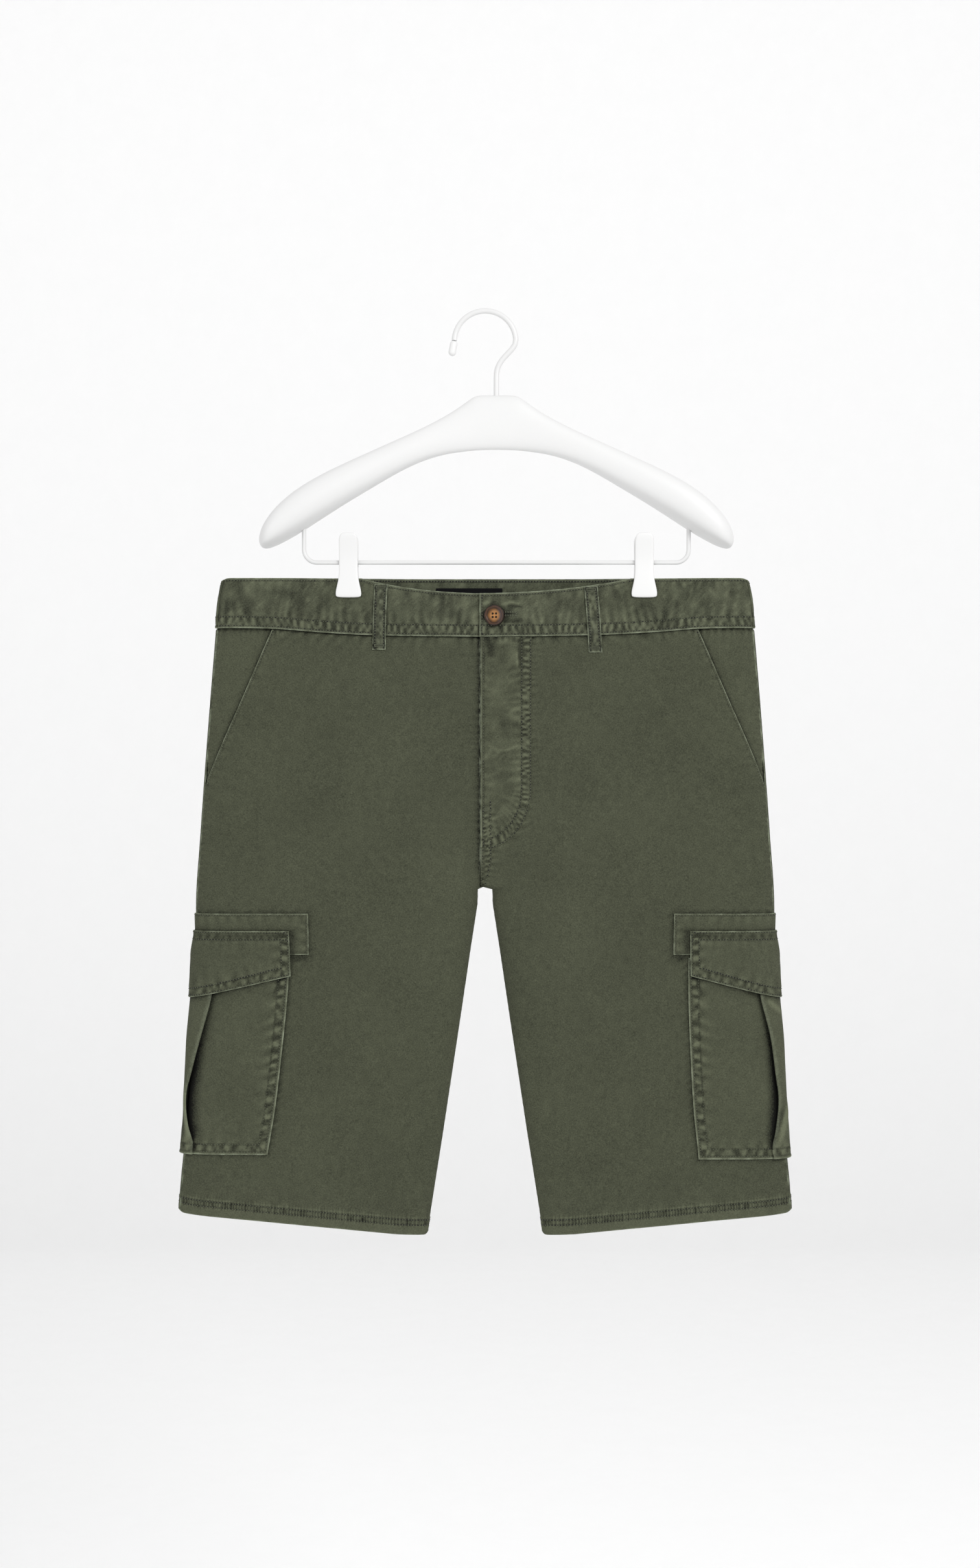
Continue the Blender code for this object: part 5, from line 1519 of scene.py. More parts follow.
def patch_cloth(side):
    row = pocket_row(side)

    def relief(w, z):
        from_top, from_end = PATCH_TOP_Z - z, row["patch"] - np.abs(w)
        along = np.where(from_end < from_top, z, w)
        up = sewn(np.minimum(from_top, from_end), along, (EDGE_LINE,), 0.3, 61, 5.0, FLAP_RIPPLES)
        return up * ease(inside_flap(w, z), 2.0, -1.0)

    def inside_flap(w, z):
        return np.minimum(FLAP_TOP_Z - z, row["flap_top"] + 4.0 - np.abs(w))

    # Painted shadow under and beside the flap's edge.
    def shade(w, z):
        return 0.7 * contact_shadow(-inside_flap(w, z))

    return Cloth(round_side(side), LAYER, POCKET_CLOTH, relief, shade)


def add_patch(side_name):
    """The stay that the flap is sewn to, wrapped round the side of the leg."""
    side = SIDES[side_name]
    reach = pocket_row(side)["patch"]
    across = 2 * stations(2 * reach, 6.0, 6.0, 2.2) - 1
    share = stations(PATCH_TOP_Z - PATCH_LOW_Z, 5.0, 3.0, 1.6)[:, None]
    w, z = np.broadcast_arrays(reach * across, mix(PATCH_TOP_Z, PATCH_LOW_Z, share))
    edge = least(reach - np.abs(w), PATCH_TOP_Z - z, z - PATCH_LOW_Z)
    rests = [f"{face_name}_{side_name}" for face_name in FACES]
    patch_cloth(side).make(f"cargo_patch_{side_name}", w, z, edge, rests)


FLAP_REACH_DROP = FLAP_TOP_Z - FLAP_FRONT_Z


def flap_reach(row, z):
    return mix(row["flap_top"], row["flap_low"], np.clip((FLAP_TOP_Z - z) / FLAP_REACH_DROP, 0, 1))


def flap_low(row, w):
    return mix(FLAP_FOLD_Z, FLAP_FRONT_Z, np.clip(np.abs(w) / row["flap_low"], 0, 1))


def flap_cloth(side):
    row = pocket_row(side)

    def lift(w, z):
        stand_z = BAG_TOP_Z - FLAP_STAND_DEPTH
        over_pleat = ease(np.abs(w), FLAP_RISE_W, FLAP_LEVEL_W) * ease(z, FLAP_TOP_Z, BAG_TOP_Z)
        lift = BAG_GAP + LAYER + CLOTH + over_pleat * (2 * LAYER + FLAP_PLAY)
        lift = lift + FLAP_PLAY * ease(z, BAG_TOP_Z, stand_z)
        lift = lift + FLAP_STAND * over_pleat * ease(z, stand_z, FLAP_FOLD_Z)
        return lift + 0.2 * dapple(w / 9.0, z / 12.0, 8)

    def relief(w, z):
        from_top, from_low = FLAP_TOP_Z - z, z - flap_low(row, w)
        from_end = flap_reach(row, z) - np.abs(w)
        low = np.minimum(from_low, from_end)
        up = sewn(low, np.where(from_end < from_low, z, w), FLAP_LINES, 0.46, 63, 6.0, FLAP_RIPPLES)
        rest = ease(low, 2.0, 9.0)
        up = up + rest * sewn(from_top, w, FLAP_LINES, 0.18, 64, 5.0, BAND_RIPPLES)
        # A crease squeezed in at each upper corner.
        corner = bump(from_end - 5.0, 4.0) * bump(from_top - 5.2, 1.6)
        return up - 0.16 * rest * bump(from_top - 0.6 * FLAP_LINES[1], 2.0) - 0.5 * corner

    return Cloth(round_side(side), lift, CLOTH, relief)


def add_flap(side_name):
    """The flap, sewn along its top, deepest at the side of the leg, lying over the pleated bag."""
    side = SIDES[side_name]
    row = pocket_row(side)
    share = stations(52.0, 10.0, 10.0, 1.7)[:, None]
    across = 2 * stations(172.0, 11.0, 11.0, 1.7) - 1
    reach = mix(row["flap_top"], row["flap_low"], share)
    w = reach * across
    z = mix(FLAP_TOP_Z, mix(FLAP_FOLD_Z, FLAP_FRONT_Z, np.abs(across)), share)
    edge = np.maximum(least(reach - np.abs(w), FLAP_TOP_Z - z, z - flap_low(row, w)), 0)
    rests = [f"cargo_patch_{side_name}"]
    flap_cloth(side).make(f"cargo_flap_{side_name}", w, z, edge, rests)


def bag_level(row, share, side_name):
    """Reach, both widths of the pleat and its standing height at a share of the way down the bag."""
    shares = column(PLEAT, PLEAT_COLUMNS, "share")
    widths = [float(smooth(share, shares, column(PLEAT, PLEAT_COLUMNS, name)))
              for name in (side_name, "behind", "lift")]
    return mix(row["bag_top"], row["bag_low"], share), *widths


def half_turn(w, low, high, direction, count=9):
    """Points round a fold of the cloth between a low and a high layer."""
    turns = np.linspace(0, math.pi, count)
    radius = (high - low) / 2
    return w + direction * radius * np.sin(turns), (low + high) / 2 - radius * np.cos(turns)


def half_path(where, reach, pleat, standing):
    """The bag's cloth from one edge to the side fold, (distance round, lift) along its middle."""
    under = min(PLEAT_UNDER[where], pleat - PLEAT_TUCK)
    turned = pleat - PLEAT_TURN
    middle, high = BAG_LOW + LAYER, BAG_LOW + 2 * LAYER
    w = reach - (reach - under) * stations(72.0, 12.0, 2.0, 2.0)[:-4]
    swell = ease(w, pleat + SWELL_RISE[0], pleat + SWELL_RISE[1]) * ease(w, reach, reach - SWELL_FALL)
    parts = [(w, BAG_LOW + BAG_SWELL * standing * swell)]
    parts.append(half_turn(under, BAG_LOW, middle, -1))
    share = np.linspace(0, 1, 6)[1:-1]
    parts.append((mix(under, turned, share), middle + standing * 0.9 * share**1.6))
    parts.append(half_turn(turned, middle + standing * 0.9, high + standing, 1))
    over = turned * np.linspace(1, 0, 8)[1:]
    parts.append((over, np.full(len(over), high + standing)))
    return np.concatenate([np.stack(part, 1) for part in parts])


def bag_path(reach, front_pleat, back_pleat, standing):
    """The bag's cloth across the leg, from its front edge to its back edge."""
    front = half_path("front", reach, front_pleat, standing)
    back = half_path("back", reach, back_pleat, standing) * (-1, 1)
    return np.concatenate([front, back[-2::-1]])


PLEAT_FOOT = 18.0  # the bag's rows of stitches end this near the side fold, at the pleat
# Painted shadow in the pleat's open mouth beside its edge: share of the way down, breadth and darkness.
PLEAT_MOUTH_SHADOW = (
    (0.00, 4.0, 0.0),
    (0.12, 5.0, 0.3),
    (0.35, 7.0, 0.65),
    (0.55, 11.0, 0.95),
    (0.70, 14.0, 1.2),
    (0.88, 13.0, 1.2),
    (0.95, 7.0, 0.5),
    (1.00, 4.0, 0.0),
)
MOUTH_SHADOW_BREADTH = {"right": 1.0, "left": 0.75}  # the left pleat hangs more closed
PLEAT_PALER = 0.12  # tone of the pleat's raised cloth, which wore more
# Creases in the pleat's raised cloth: side, w and z of both ends, breadth, height.
PLEAT_CREASES = (
    ("left", 1.0, -735.0, 13.0, -769.0, 2.6, 0.8),
    ("left", 5.0, -737.0, 17.0, -771.0, 2.4, -0.5),
    ("left", 2.0, -646.0, 12.0, -635.0, 2.0, 0.5),
    ("right", 2.0, -722.0, 9.0, -766.0, 2.6, 0.7),
    ("right", -5.0, -716.0, 3.0, -758.0, 3.0, -0.5),
    ("left", -6.0, -700.0, -3.0, -760.0, 3.0, 0.5),
)


def pleat_creases(side_name, w, z):
    relief = 0.0
    for name, w0, z0, w1, z1, breadth, height in PLEAT_CREASES:
        if name == side_name:
            relief = relief + height * short_fold(w, z, w0, z0, w1, z1, breadth)
    return relief


def bag_relief(row, w, z):
    from_end, from_low = bag_reach(row, z) - np.abs(w), z - row["bag_low_z"]
    near = np.minimum(from_end, from_low)
    along = np.where(from_end < from_low, z, w)
    up = sewn(near, along, BAG_LINES, 0.42, 65, 5.0, BAG_RIPPLES)
    up = up + 0.35 * sewn(near, along, BAG_LINES, 0.42, 67, 3.0, BAG_FINE_RIPPLES)
    # A small fold just below each front corner of the flap.
    lean = from_end - 7.0 - 0.3 * (FLAP_FRONT_Z - z)
    up = up - 0.6 * bump(lean, 1.8) * bump(z - FLAP_FRONT_Z + 8.0, 7.0)
    return up * ease(z, BAG_TOP_Z, BAG_TOP_Z - 4.0)


def bag_flap_shadow(row, w, z):
    """Painted shadow: how much darker the bag is painted just below the flap that hangs over it."""
    return 0.9 * contact_shadow((flap_low(row, w) - z) * 0.6)


def bag_cloth(side):
    """The bag's flat front part, to sew on."""
    row, lift = pocket_row(side), BAG_GAP + POCKET_CLOTH
    return Cloth(round_side(side), lift, POCKET_CLOTH, lambda w, z: bag_relief(row, w, z))


def add_bag(side_name):
    """The pocket bag, with a box pleat down its middle that stands open between mouth and foot."""
    side = SIDES[side_name]
    row = pocket_row(side)
    depth = BAG_TOP_Z - row["bag_low_z"]
    outer_rows, inner_rows, flat_rows, tones, worns, paths = [], [], [], [], [], []
    for share in stations(depth, 3.0, 12.0, 1.45, 1.0):
        z = float(mix(BAG_TOP_Z, row["bag_low_z"], share))
        reach, front_pleat, back_pleat, standing = bag_level(row, share, side_name)
        path = bag_path(reach, front_pleat, back_pleat, standing)
        along, steps = np.gradient(path, axis=0), run_of(path)
        across = unit(np.stack([along[:, 1], -along[:, 0]], 1))
        across = across * np.sign(across[0, 1])
        w, heights = path[:, 0], np.full(len(path), z)
        over = path[:, 1] > BAG_LOW + 1.6 * LAYER + 0.9 * standing
        creases = over * min(1.0, standing) * pleat_creases(side_name, w, z)
        relief = bag_relief(row, w, heights) + creases
        rim = least(steps, steps[-1] - steps, min(BAG_TOP_Z - z, z - row["bag_low_z"]))
        half = (POCKET_CLOTH / 2 - rounded(rim, POCKET_CLOTH / 2))[:, None]
        slack = 0.25 * dapple(w / 17.0, heights / 24.0, 6) * ease(rim, 4.0, 16.0)
        folds = soft_folds(side, w, heights) + slack
        for rows, shift in ((outer_rows, relief[:, None] + half), (inner_rows, relief[:, None] - half),
                            (flat_rows, 0.0)):
            place = path + across * shift
            lifts = (place[:, 1] + folds)[:, None]
            rows.append(skin(side, place[:, 0], heights) + outward(side, place[:, 0], heights) * lifts)
        beyond = np.where(w > 0, w - front_pleat, -w - back_pleat)
        crest = bump(beyond, 1.4) * over
        # Painted shadow: the cloth in the pleat's open mouth, and beside it, is painted darker.
        shares, breadths, darkness = table(PLEAT_MOUTH_SHADOW)
        breadth = np.interp(share, shares, breadths) * MOUTH_SHADOW_BREADTH[side_name]
        mouth_shadow = np.where(over, 0.0, np.clip(1 - np.maximum(beyond, 0) / breadth, 0, 1) ** 1.4)
        mouth_shadow = mouth_shadow * np.interp(share, shares, darkness)
        tone = tone_of(relief) * (1 - 0.7 * np.minimum(mouth_shadow, 1)) + PLEAT_PALER * over
        tones.append(tone - 1.5 * mouth_shadow - bag_flap_shadow(row, w, heights))
        fray = bump(rim - 0.25, 0.8) * (0.75 + 0.5 * dapple(w / 5.0, heights / 5.0, 5))
        worns.append(bpy.context.scene.shorts_cloth.edge_wear * np.maximum(fray, 0.22 * crest))
        paths.append(np.stack([steps - steps[-1] / 2, heights], -1))
    name = f"cargo_bag_{side_name}"
    u, v = np.moveaxis(np.array(paths), -1, 0)
    walls = (np.array(outer_rows), np.array(inner_rows))
    obj = keep(wall(name, *walls, u, v, np.array(tones), np.array(worns)), "cloth", name)
    hang(obj, np.array(flat_rows))


def pocket_outline(row, line):
    """The row of stitches at that distance inside one end of the bag and its foot, as (w, z)."""
    low = row["bag_low_z"] + line
    end = [(float(bag_reach(row, z)) - line, z) for z in np.linspace(BAG_TOP_Z - 6.0, low, 60)]
    foot = np.linspace(end[-1][0], PLEAT_FOOT, 20)
    return [*end, *((w, low) for w in foot)]


def sew_pockets():
    """Rows of stitches round the patches, flaps and bags."""
    sewing = Sewing()
    for side_name, side in SIDES.items():
        row = pocket_row(side)
        patch, flap, bag = patch_cloth(side), flap_cloth(side), bag_cloth(side)
        end = row["patch"] - EDGE_LINE
        top = PATCH_TOP_Z - EDGE_LINE
        sewing.row(patch, [(-end, PATCH_LOW_Z + 1), (-end, top), (end, top), (end, PATCH_LOW_Z + 1)])
        for line in FLAP_LINES:
            z = FLAP_TOP_Z - line
            end = float(flap_reach(row, z)) - (EDGE_LINE if line == EDGE_LINE else 0.4)
            sewing.row(flap, [(-end, z), (end, z)])
            drop = np.linspace(z, FLAP_FRONT_Z + line, 24)
            ends = [(float(flap_reach(row, h)) - line, h) for h in drop]
            middle = (0.0, FLAP_FOLD_Z + line)
            sewing.row(flap, [*ends, middle, *((-w, h) for w, h in ends[::-1])])
        for line in BAG_LINES:
            path = pocket_outline(row, line)
            sewing.row(bag, path)
            sewing.row(bag, [(-w, z) for w, z in path])
    return sewing.make("stitching_pockets")


# ---------------------------------------------------------------- modelling hard pieces


def deselect():
    if bpy.context.object and bpy.context.object.mode != "OBJECT":
        bpy.ops.object.mode_set(mode="OBJECT")
    bpy.ops.object.select_all(action="DESELECT")


def name_piece(name, finish_name):
    """Names the object at work, lays it on the origin and gives it its finish."""
    obj = bpy.context.object
    obj.name = obj.data.name = name
    bpy.ops.object.transform_apply(location=True, rotation=True, scale=True)
    obj.data.materials.clear()
    obj.data.materials.append(finish(finish_name))
    bpy.ops.object.shade_smooth_by_angle(angle=math.radians(42))
    return obj


def apply_modifier(kind, **settings):
    obj = bpy.context.object
    modifier = obj.modifiers.new(kind.lower(), kind)
    for key, value in settings.items():
        setattr(modifier, key, value)
    bpy.ops.object.modifier_apply(modifier=modifier.name)


def round_edges(width, segments):
    """Rounds the sharp edges of the object at work."""
    apply_modifier("BEVEL", width=width * MM, segments=segments, limit_method="ANGLE",
                   angle_limit=math.radians(50))


def loft(sections, along_x, corner):
    """A closed skin through rounded rectangles (centre, half width, half depth), end to end.

    The rectangles stand across the X axis, or across the Z axis where along_x is False.
    """
    deselect()
    (x, y, z), a, b = sections[0]
    turn = (0.0, math.pi / 2, 0.0) if along_x else (0.0, 0.0, 0.0)
    bpy.ops.mesh.primitive_plane_add(size=2 * MM, location=(x * MM, y * MM, z * MM), rotation=turn)
    bpy.ops.object.mode_set(mode="EDIT")
    bpy.ops.mesh.select_all(action="SELECT")
    size = (1.0, b, a) if along_x else (a, b, 1.0)
    bpy.ops.transform.resize(value=size, center_override=(x * MM, y * MM, z * MM))
    bpy.ops.mesh.bevel(affect="VERTICES", offset_type="PERCENT", offset_pct=corner, segments=2)
    for (to_x, to_y, to_z), next_a, next_b in sections[1:]:
        step = ((to_x - x) * MM, (to_y - y) * MM, (to_z - z) * MM)
        bpy.ops.mesh.extrude_region_move(TRANSFORM_OT_translate={"value": step})
        ratio = (next_b / b, next_a / a)
        size = (1.0, *ratio) if along_x else (ratio[1], ratio[0], 1.0)
        bpy.ops.transform.resize(value=size, center_override=(to_x * MM, to_y * MM, to_z * MM))
        (x, y, z), a, b = (to_x, to_y, to_z), next_a, next_b
    bpy.ops.mesh.select_all(action="SELECT")
    bpy.ops.mesh.normals_make_consistent(inside=False)
    bpy.ops.object.mode_set(mode="OBJECT")


def wire(name, route, radius, finish_name):
    """A round wire along a route, with closed ends."""
    data = bpy.data.curves.new(name, "CURVE")
    data.dimensions = "3D"
    data.bevel_depth = radius * MM
    data.bevel_resolution = 6
    data.use_fill_caps = True
    spline = data.splines.new("POLY")
    spline.points.add(len(route) - 1)
    for point, at in zip(spline.points, route):
        point.co = (at[0] * MM, at[1] * MM, at[2] * MM, 1.0)
    obj = bpy.data.objects.new(name, data)
    bpy.context.scene.collection.objects.link(obj)
    deselect()
    obj.select_set(True)
    bpy.context.view_layer.objects.active = obj
    bpy.ops.object.convert(target="MESH")
    return name_piece(name, finish_name)


# ---------------------------------------------------------------- button


def button_place():
    """Where the button's back lies and how it is turned: leaning with the band, and to the right."""
    clear = BAND_OUT + SEAM_GAP + BUTTON_STAND
    places = flat_on(1.0)(np.array([BUTTON_X] * 2), np.array([BUTTON_Z, BUTTON_Z + BUTTON_RADIUS]))
    points = skin(*places) + outward(*places) * clear
    lean = math.radians(90) - math.atan2(points[1, 1] - points[0, 1], BUTTON_RADIUS)
    return Vector(points[0]), Matrix.Rotation(-BUTTON_TURN, 4, "Z") @ Matrix.Rotation(lean, 4, "X")


# The button's face from the rim inwards: breadth of each step and how far it falls.
BUTTON_FACE = ((0.5, 0.0), (1.0, 0.0), (0.9, -0.5), (1.3, -0.7), (1.4, -0.1), (1.6, 0.0))


def add_button():
    """A turned four-hole button with a raised, rounded rim round a dish."""
    deselect()
    size = {"radius": BUTTON_RADIUS * MM, "depth": BUTTON_THICK * MM}
    bpy.ops.mesh.primitive_cylinder_add(vertices=72, location=(0, 0, BUTTON_THICK / 2 * MM), **size)
    obj = bpy.context.object
    bpy.ops.object.mode_set(mode="EDIT")
    bpy.ops.mesh.select_all(action="DESELECT")
    edit = bmesh.from_edit_mesh(obj.data)
    for face in edit.faces:
        face.select_set(face.normal.z > 0.9)
    bmesh.update_edit_mesh(obj.data)
    for inset, rise in BUTTON_FACE:
        bpy.ops.mesh.inset(thickness=inset * MM, depth=0.0)
        bpy.ops.transform.translate(value=(0.0, 0.0, rise * MM))
    bpy.ops.object.mode_set(mode="OBJECT")
    round_edges(0.55, 3)
    body = bpy.context.object
    half = HOLE_SPACING / 2
    for x, y in ((-half, -half), (half, -half), (half, half), (-half, half)):
        deselect()
        place = {"location": (x * MM, y * MM, 0.0)}
        bpy.ops.mesh.primitive_cylinder_add(vertices=24, radius=HOLE_RADIUS * MM, depth=0.02, **place)
        cutter = bpy.context.object
        deselect()
        body.select_set(True)
        bpy.context.view_layer.objects.active = body
        apply_modifier("BOOLEAN", operation="DIFFERENCE", object=cutter, solver="EXACT")
        bpy.data.objects.remove(cutter, do_unlink=True)
    # How far out each point lies, and how far to the side, where the painted sheen lies.
    places = np.array([v.co for v in body.data.vertices]) / (BUTTON_RADIUS * MM)
    mark(body, tone=np.hypot(places[:, 0], places[:, 1]), clouded=places[:, 0])
    seat, turn = button_place()
    body.matrix_world = Matrix.Translation(seat * MM) @ turn
    keep(name_piece("button_turned", "horn"), "button", "button")
    sewing = Sewing()
    facing = np.array([turn.to_3x3() @ Vector((0.0, 0.0, 1.0))])
    # The thread shows sunk in each hole, painted nearly black: painted shade in the holes.
    for x in (-half, half):
        for y in (-half, half):
            ends = [np.array(seat + turn.to_3x3() @ Vector((x + step, y, 0.7))) for step in (-0.8, 0.8)]
            sewing.add(ends[0][None], ends[1][None], facing, 0.6, hole=False, tone=-1.1)
    left = band_cloth(1.0, end_x=BAND_EDGE_X)
    start, z = BUTTON_X + 0.8 * BUTTON_RADIUS, BUTTONHOLE_Z
    for shift in (-1.5, 1.5):
        sewing.tack(left, (start, z + shift), (BUTTONHOLE_END_X, z + shift), 2.6, 8, 0.45)
    sewing.tack(left, (BUTTONHOLE_END_X, z - 2.4), (BUTTONHOLE_END_X, z + 2.4), 2.4, 3, 0.45)
    # The slit between the two rows of its edging: a row of needle holes painted dark, as painted shade
    # in the slit.
    eye = np.linspace(start, BUTTONHOLE_END_X - 1.0, 8)
    points, normals = left.at(eye, np.full(8, z), -0.1)
    sewing.add(points[:-1], points[1:], normals[:-1], 0.05)
    return sewing.make("stitching_button")


# ---------------------------------------------------------------- hanger


def add_hanger_body():
    """The broad-shouldered hanger, one rounded body from arm to arm."""
    rows = [(-out, *row) for out, *row in ARM[:0:-1]] + list(ARM)
    sections = [((HANGER_X + x, 0.0, (top + low) / 2), (top - low) / 2, thick)
                for x, top, low, thick in rows]
    loft(sections, True, ARM_CORNER)
    apply_modifier("SUBSURF", levels=2, render_levels=2)
    keep(name_piece("hanger_shell", "white_lacquer"), "hanger", "hanger_body")


def hook_route():
    """Centre of the hook's wire, from its tip over the bend and down into the hanger."""
    turns = np.radians(np.linspace(178, 4, 64))
    bend = [(HOOK_BEND * math.cos(a), 0.0, HOOK_CENTRE_Z + HOOK_BEND * math.sin(a)) for a in turns]
    places, heights = table(HOOK_NECK)
    neck = [(float(smooth(z, heights, places)), 0.0, float(z))
            for z in np.linspace(heights[0], heights[-1], 30)]
    return [*bend, *neck, (HANGER_X, 0.0, ARM[0][1] - HOOK_SOCKET + 1.0)]


def bar_route():
    """Centre of the trouser bar's wire: up into both arms, with round corners."""
    right = [(-BAR_HALF, BAR_SOCKET_Z)]
    for a in np.radians(np.linspace(0, 90, 13)):
        x, z = BAR_CORNER * (1 - math.cos(a)), BAR_CORNER * (1 - math.sin(a))
        right.append((x - BAR_HALF, z + BAR_Z))
    left = [(-x, z) for x, z in right[::-1]]
    return [(HANGER_X + x, 0.0, z) for x, z in right + left]


def add_hook():
    """The hook's wire and the soft sleeve over its tip."""
    keep(wire("hook_wire", hook_route(), HOOK_WIRE, "white_metal"), "wire", "hanger_hook")
    deselect()
    lean = math.radians(10)
    tip = hook_route()[0]
    away = SLEEVE_LENGTH / 2 + SEAM_GAP
    place = [a * MM for a in (tip[0] - away * math.sin(lean), 0.0, tip[2] - away * math.cos(lean))]
    size = {"radius": SLEEVE_RADIUS * MM, "depth": SLEEVE_LENGTH * MM}
    bpy.ops.mesh.primitive_cylinder_add(vertices=32, location=place, rotation=(0.0, lean, 0.0), **size)
    round_edges(3.0, 6)
    keep(name_piece("sleeve_tip", "white_plastic"), "plastic", "hook_sleeve")


def add_bar():
    """The trouser bar's wire."""
    keep(wire("bar_wire", bar_route(), BAR_WIRE, "white_metal"), "wire", "trouser_bar")


def add_jaw(face_name, side_name):
    """One jaw of a clip: a lever above the bar, a waist at it and a broad foot below."""
    place = f"{face_name}_{side_name}"
    sections = []
    for z, half, stand, full in JAW:
        depth = JAW_THICK / 2 * full
        y = -FACES[face_name] * (stand + depth)
        sections.append(((CLIP_X[side_name], y, z), half, depth))
    loft(sections, False, JAW_CORNER)
    apply_modifier("SUBSURF", levels=2, render_levels=2)
    keep(name_piece(f"jaw_{place}", "white_plastic"), "plastic", f"clip_{place}")


# ---------------------------------------------------------------- stage


# Places and breadths of the lights, in metres, and the place that they face.
KEY_PLACE, KEY_SIZE = (1.5, -2.4, 1.0), 1.3
FILL_PLACE, FILL_SIZE = (-2.2, -2.2, -0.2), 2.2
LIGHT_AIM = (0.0, 0.0, -0.45)


def area_light(name, place, size, power):
    light = bpy.data.lights.new(name, "AREA")
    light.shape, light.size, light.energy = "DISK", size, power
    obj = bpy.data.objects.new(name, light)
    obj.location = place
    obj.rotation_euler = (Vector(LIGHT_AIM) - Vector(place)).to_track_quat("-Z", "Y").to_euler()
    bpy.context.scene.collection.objects.link(obj)


def add_stage(stage):
    """A pale floor that sweeps up to a far wall, soft light and the camera."""
    deselect()
    bpy.ops.mesh.primitive_plane_add(size=stage.sweep_size, location=(0.0, 0.0, stage.floor_height))
    floor = bpy.context.object
    floor.name = "sweep"
    bpy.ops.object.mode_set(mode="EDIT")
    bpy.ops.mesh.select_all(action="DESELECT")
    edit = bmesh.from_edit_mesh(floor.data)
    for edge in edit.edges:
        edge.select_set(all(v.co.y > 0 for v in edge.verts))
    bmesh.update_edit_mesh(floor.data)
    bpy.ops.mesh.extrude_region_move(TRANSFORM_OT_translate={"value": (0.0, 0.0, stage.sweep_size / 2)})
    for edge in edit.edges:
        edge.select_set(all(v.co.y > 0 and abs(v.co.z) < MM for v in edge.verts))
    bmesh.update_edit_mesh(floor.data)
    bpy.ops.mesh.bevel(offset=stage.sweep_round, segments=32, affect="EDGES")
    bpy.ops.object.mode_set(mode="OBJECT")
    bpy.ops.object.shade_smooth()
    floor.data.materials.append(white_coat("sweep_paint", tuple(stage.sweep_colour), 0.9, 40.0, 0.0002))
    area_light("key_light", KEY_PLACE, KEY_SIZE, stage.key_power)
    area_light("fill_light", FILL_PLACE, FILL_SIZE, stage.fill_power)
    world = bpy.data.worlds.new("soft_room")
    world.use_nodes = True
    room = world.node_tree.nodes["Background"].inputs
    room["Color"].default_value = (1.0, 1.0, 1.0, 1.0)
    room["Strength"].default_value = stage.room_strength
    scene = bpy.context.scene
    scene.world = world
    scene.view_settings.view_transform = "Standard"
    lens = bpy.data.cameras.new("front_camera")
    lens.lens, lens.sensor_width = stage.lens, 36.0
    lens.clip_end = 100.0
    camera = bpy.data.objects.new("front_camera", lens)
    camera.location = stage.camera_place
    camera.rotation_euler = (math.pi / 2, 0.0, 0.0)
    scene.collection.objects.link(camera)
    scene.camera = camera


# ---------------------------------------------------------------- properties


def colour_property(name, description, default):
    return FloatVectorProperty(name=name, description=f"Linear colour of {description}",
                               default=default, subtype="COLOR", min=0, max=1)


def number_property(name, description, default, **settings):
    return FloatProperty(name=name, description=description, default=default, **settings)


def share_property(name, description, default):
    return number_property(name, description, default, min=0, max=1, subtype="FACTOR")


def length_property(name, description, default, **settings):
    return number_property(name, description, default, subtype="DISTANCE", unit="LENGTH",
                           precision=5, **settings)


def power_property(name, description, default):
    return number_property(name, description, default, subtype="POWER", unit="POWER")


class ShortsClothProperties(bpy.types.PropertyGroup):
    """Colours of the cloth, thread, label and button, and the sizes of stitches and ribs."""

    cloth_colour: colour_property("Cloth", "the twill", (0.0545, 0.0592, 0.0372))
    worn_colour: colour_property("Worn cloth", "worn edges", (0.225, 0.250, 0.178))
    thread_colour: colour_property("Thread", "the sewing thread", (0.058, 0.064, 0.040))
    label_colour: colour_property("Label", "the label", (0.005, 0.005, 0.0056))
    horn_colour: colour_property("Button", "the button's middle", (0.42, 0.19, 0.055))
    horn_sheen_colour: colour_property("Button sheen", "its clouded side", (0.075, 0.062, 0.07))
    horn_rim_colour: colour_property("Button rim", "the button's rim", (0.022, 0.011, 0.006))
    edge_wear: share_property("Edge wear", "How far edges are worn pale", 0.85)
    rib_pitch: length_property("Rib pitch", "Distance between the ribs of the twill", 0.0011, min=0)
    stitch_pitch: length_property("Stitch pitch", "Distance from stitch to stitch", 0.0027, min=0)
    stitch_length: length_property("Stitch length", "Length of a stitch that shows", 0.0014, min=0)
    thread_width: length_property("Thread width", "Width of the thread", 0.001, min=0)


class ShortsHangerProperties(bpy.types.PropertyGroup):
    """Finish of the hanger."""

    coat_colour: colour_property("Coat", "the white coat", (0.64, 0.64, 0.637))
    lacquer_roughness: share_property("Lacquer roughness", "Roughness of the lacquer", 0.42)


class ShortsStageProperties(bpy.types.PropertyGroup):
    """Backdrop, light and camera."""

    sweep_size: length_property("Sweep", "Width of the backdrop", 9.0)
    sweep_round: length_property("Sweep's curve", "Where the floor turns up into the wall", 2.8)
    sweep_colour: colour_property("Sweep's paint", "the backdrop", (0.99, 0.99, 0.99))
    floor_height: length_property("Floor", "Height of the floor", -2.0)
    key_power: power_property("Key light", "Power of the key light", 50.0)
    fill_power: power_property("Fill light", "Power of the fill light", 16.0)
    room_strength: number_property("Room light", "Strength of the light all round", 0.9, min=0)
    lens: number_property("Lens", "Focal length in millimetres", 42.15)
    camera_place: FloatVectorProperty(name="Camera", description="Place of the camera",
                                      default=(0.0045, -1.7, -0.4356), subtype="TRANSLATION",
                                      unit="LENGTH")


# ---------------------------------------------------------------- operators


class Step:
    """What every operator here shares: it can be undone, and it shows in the log."""

    bl_options = {"REGISTER", "UNDO"}


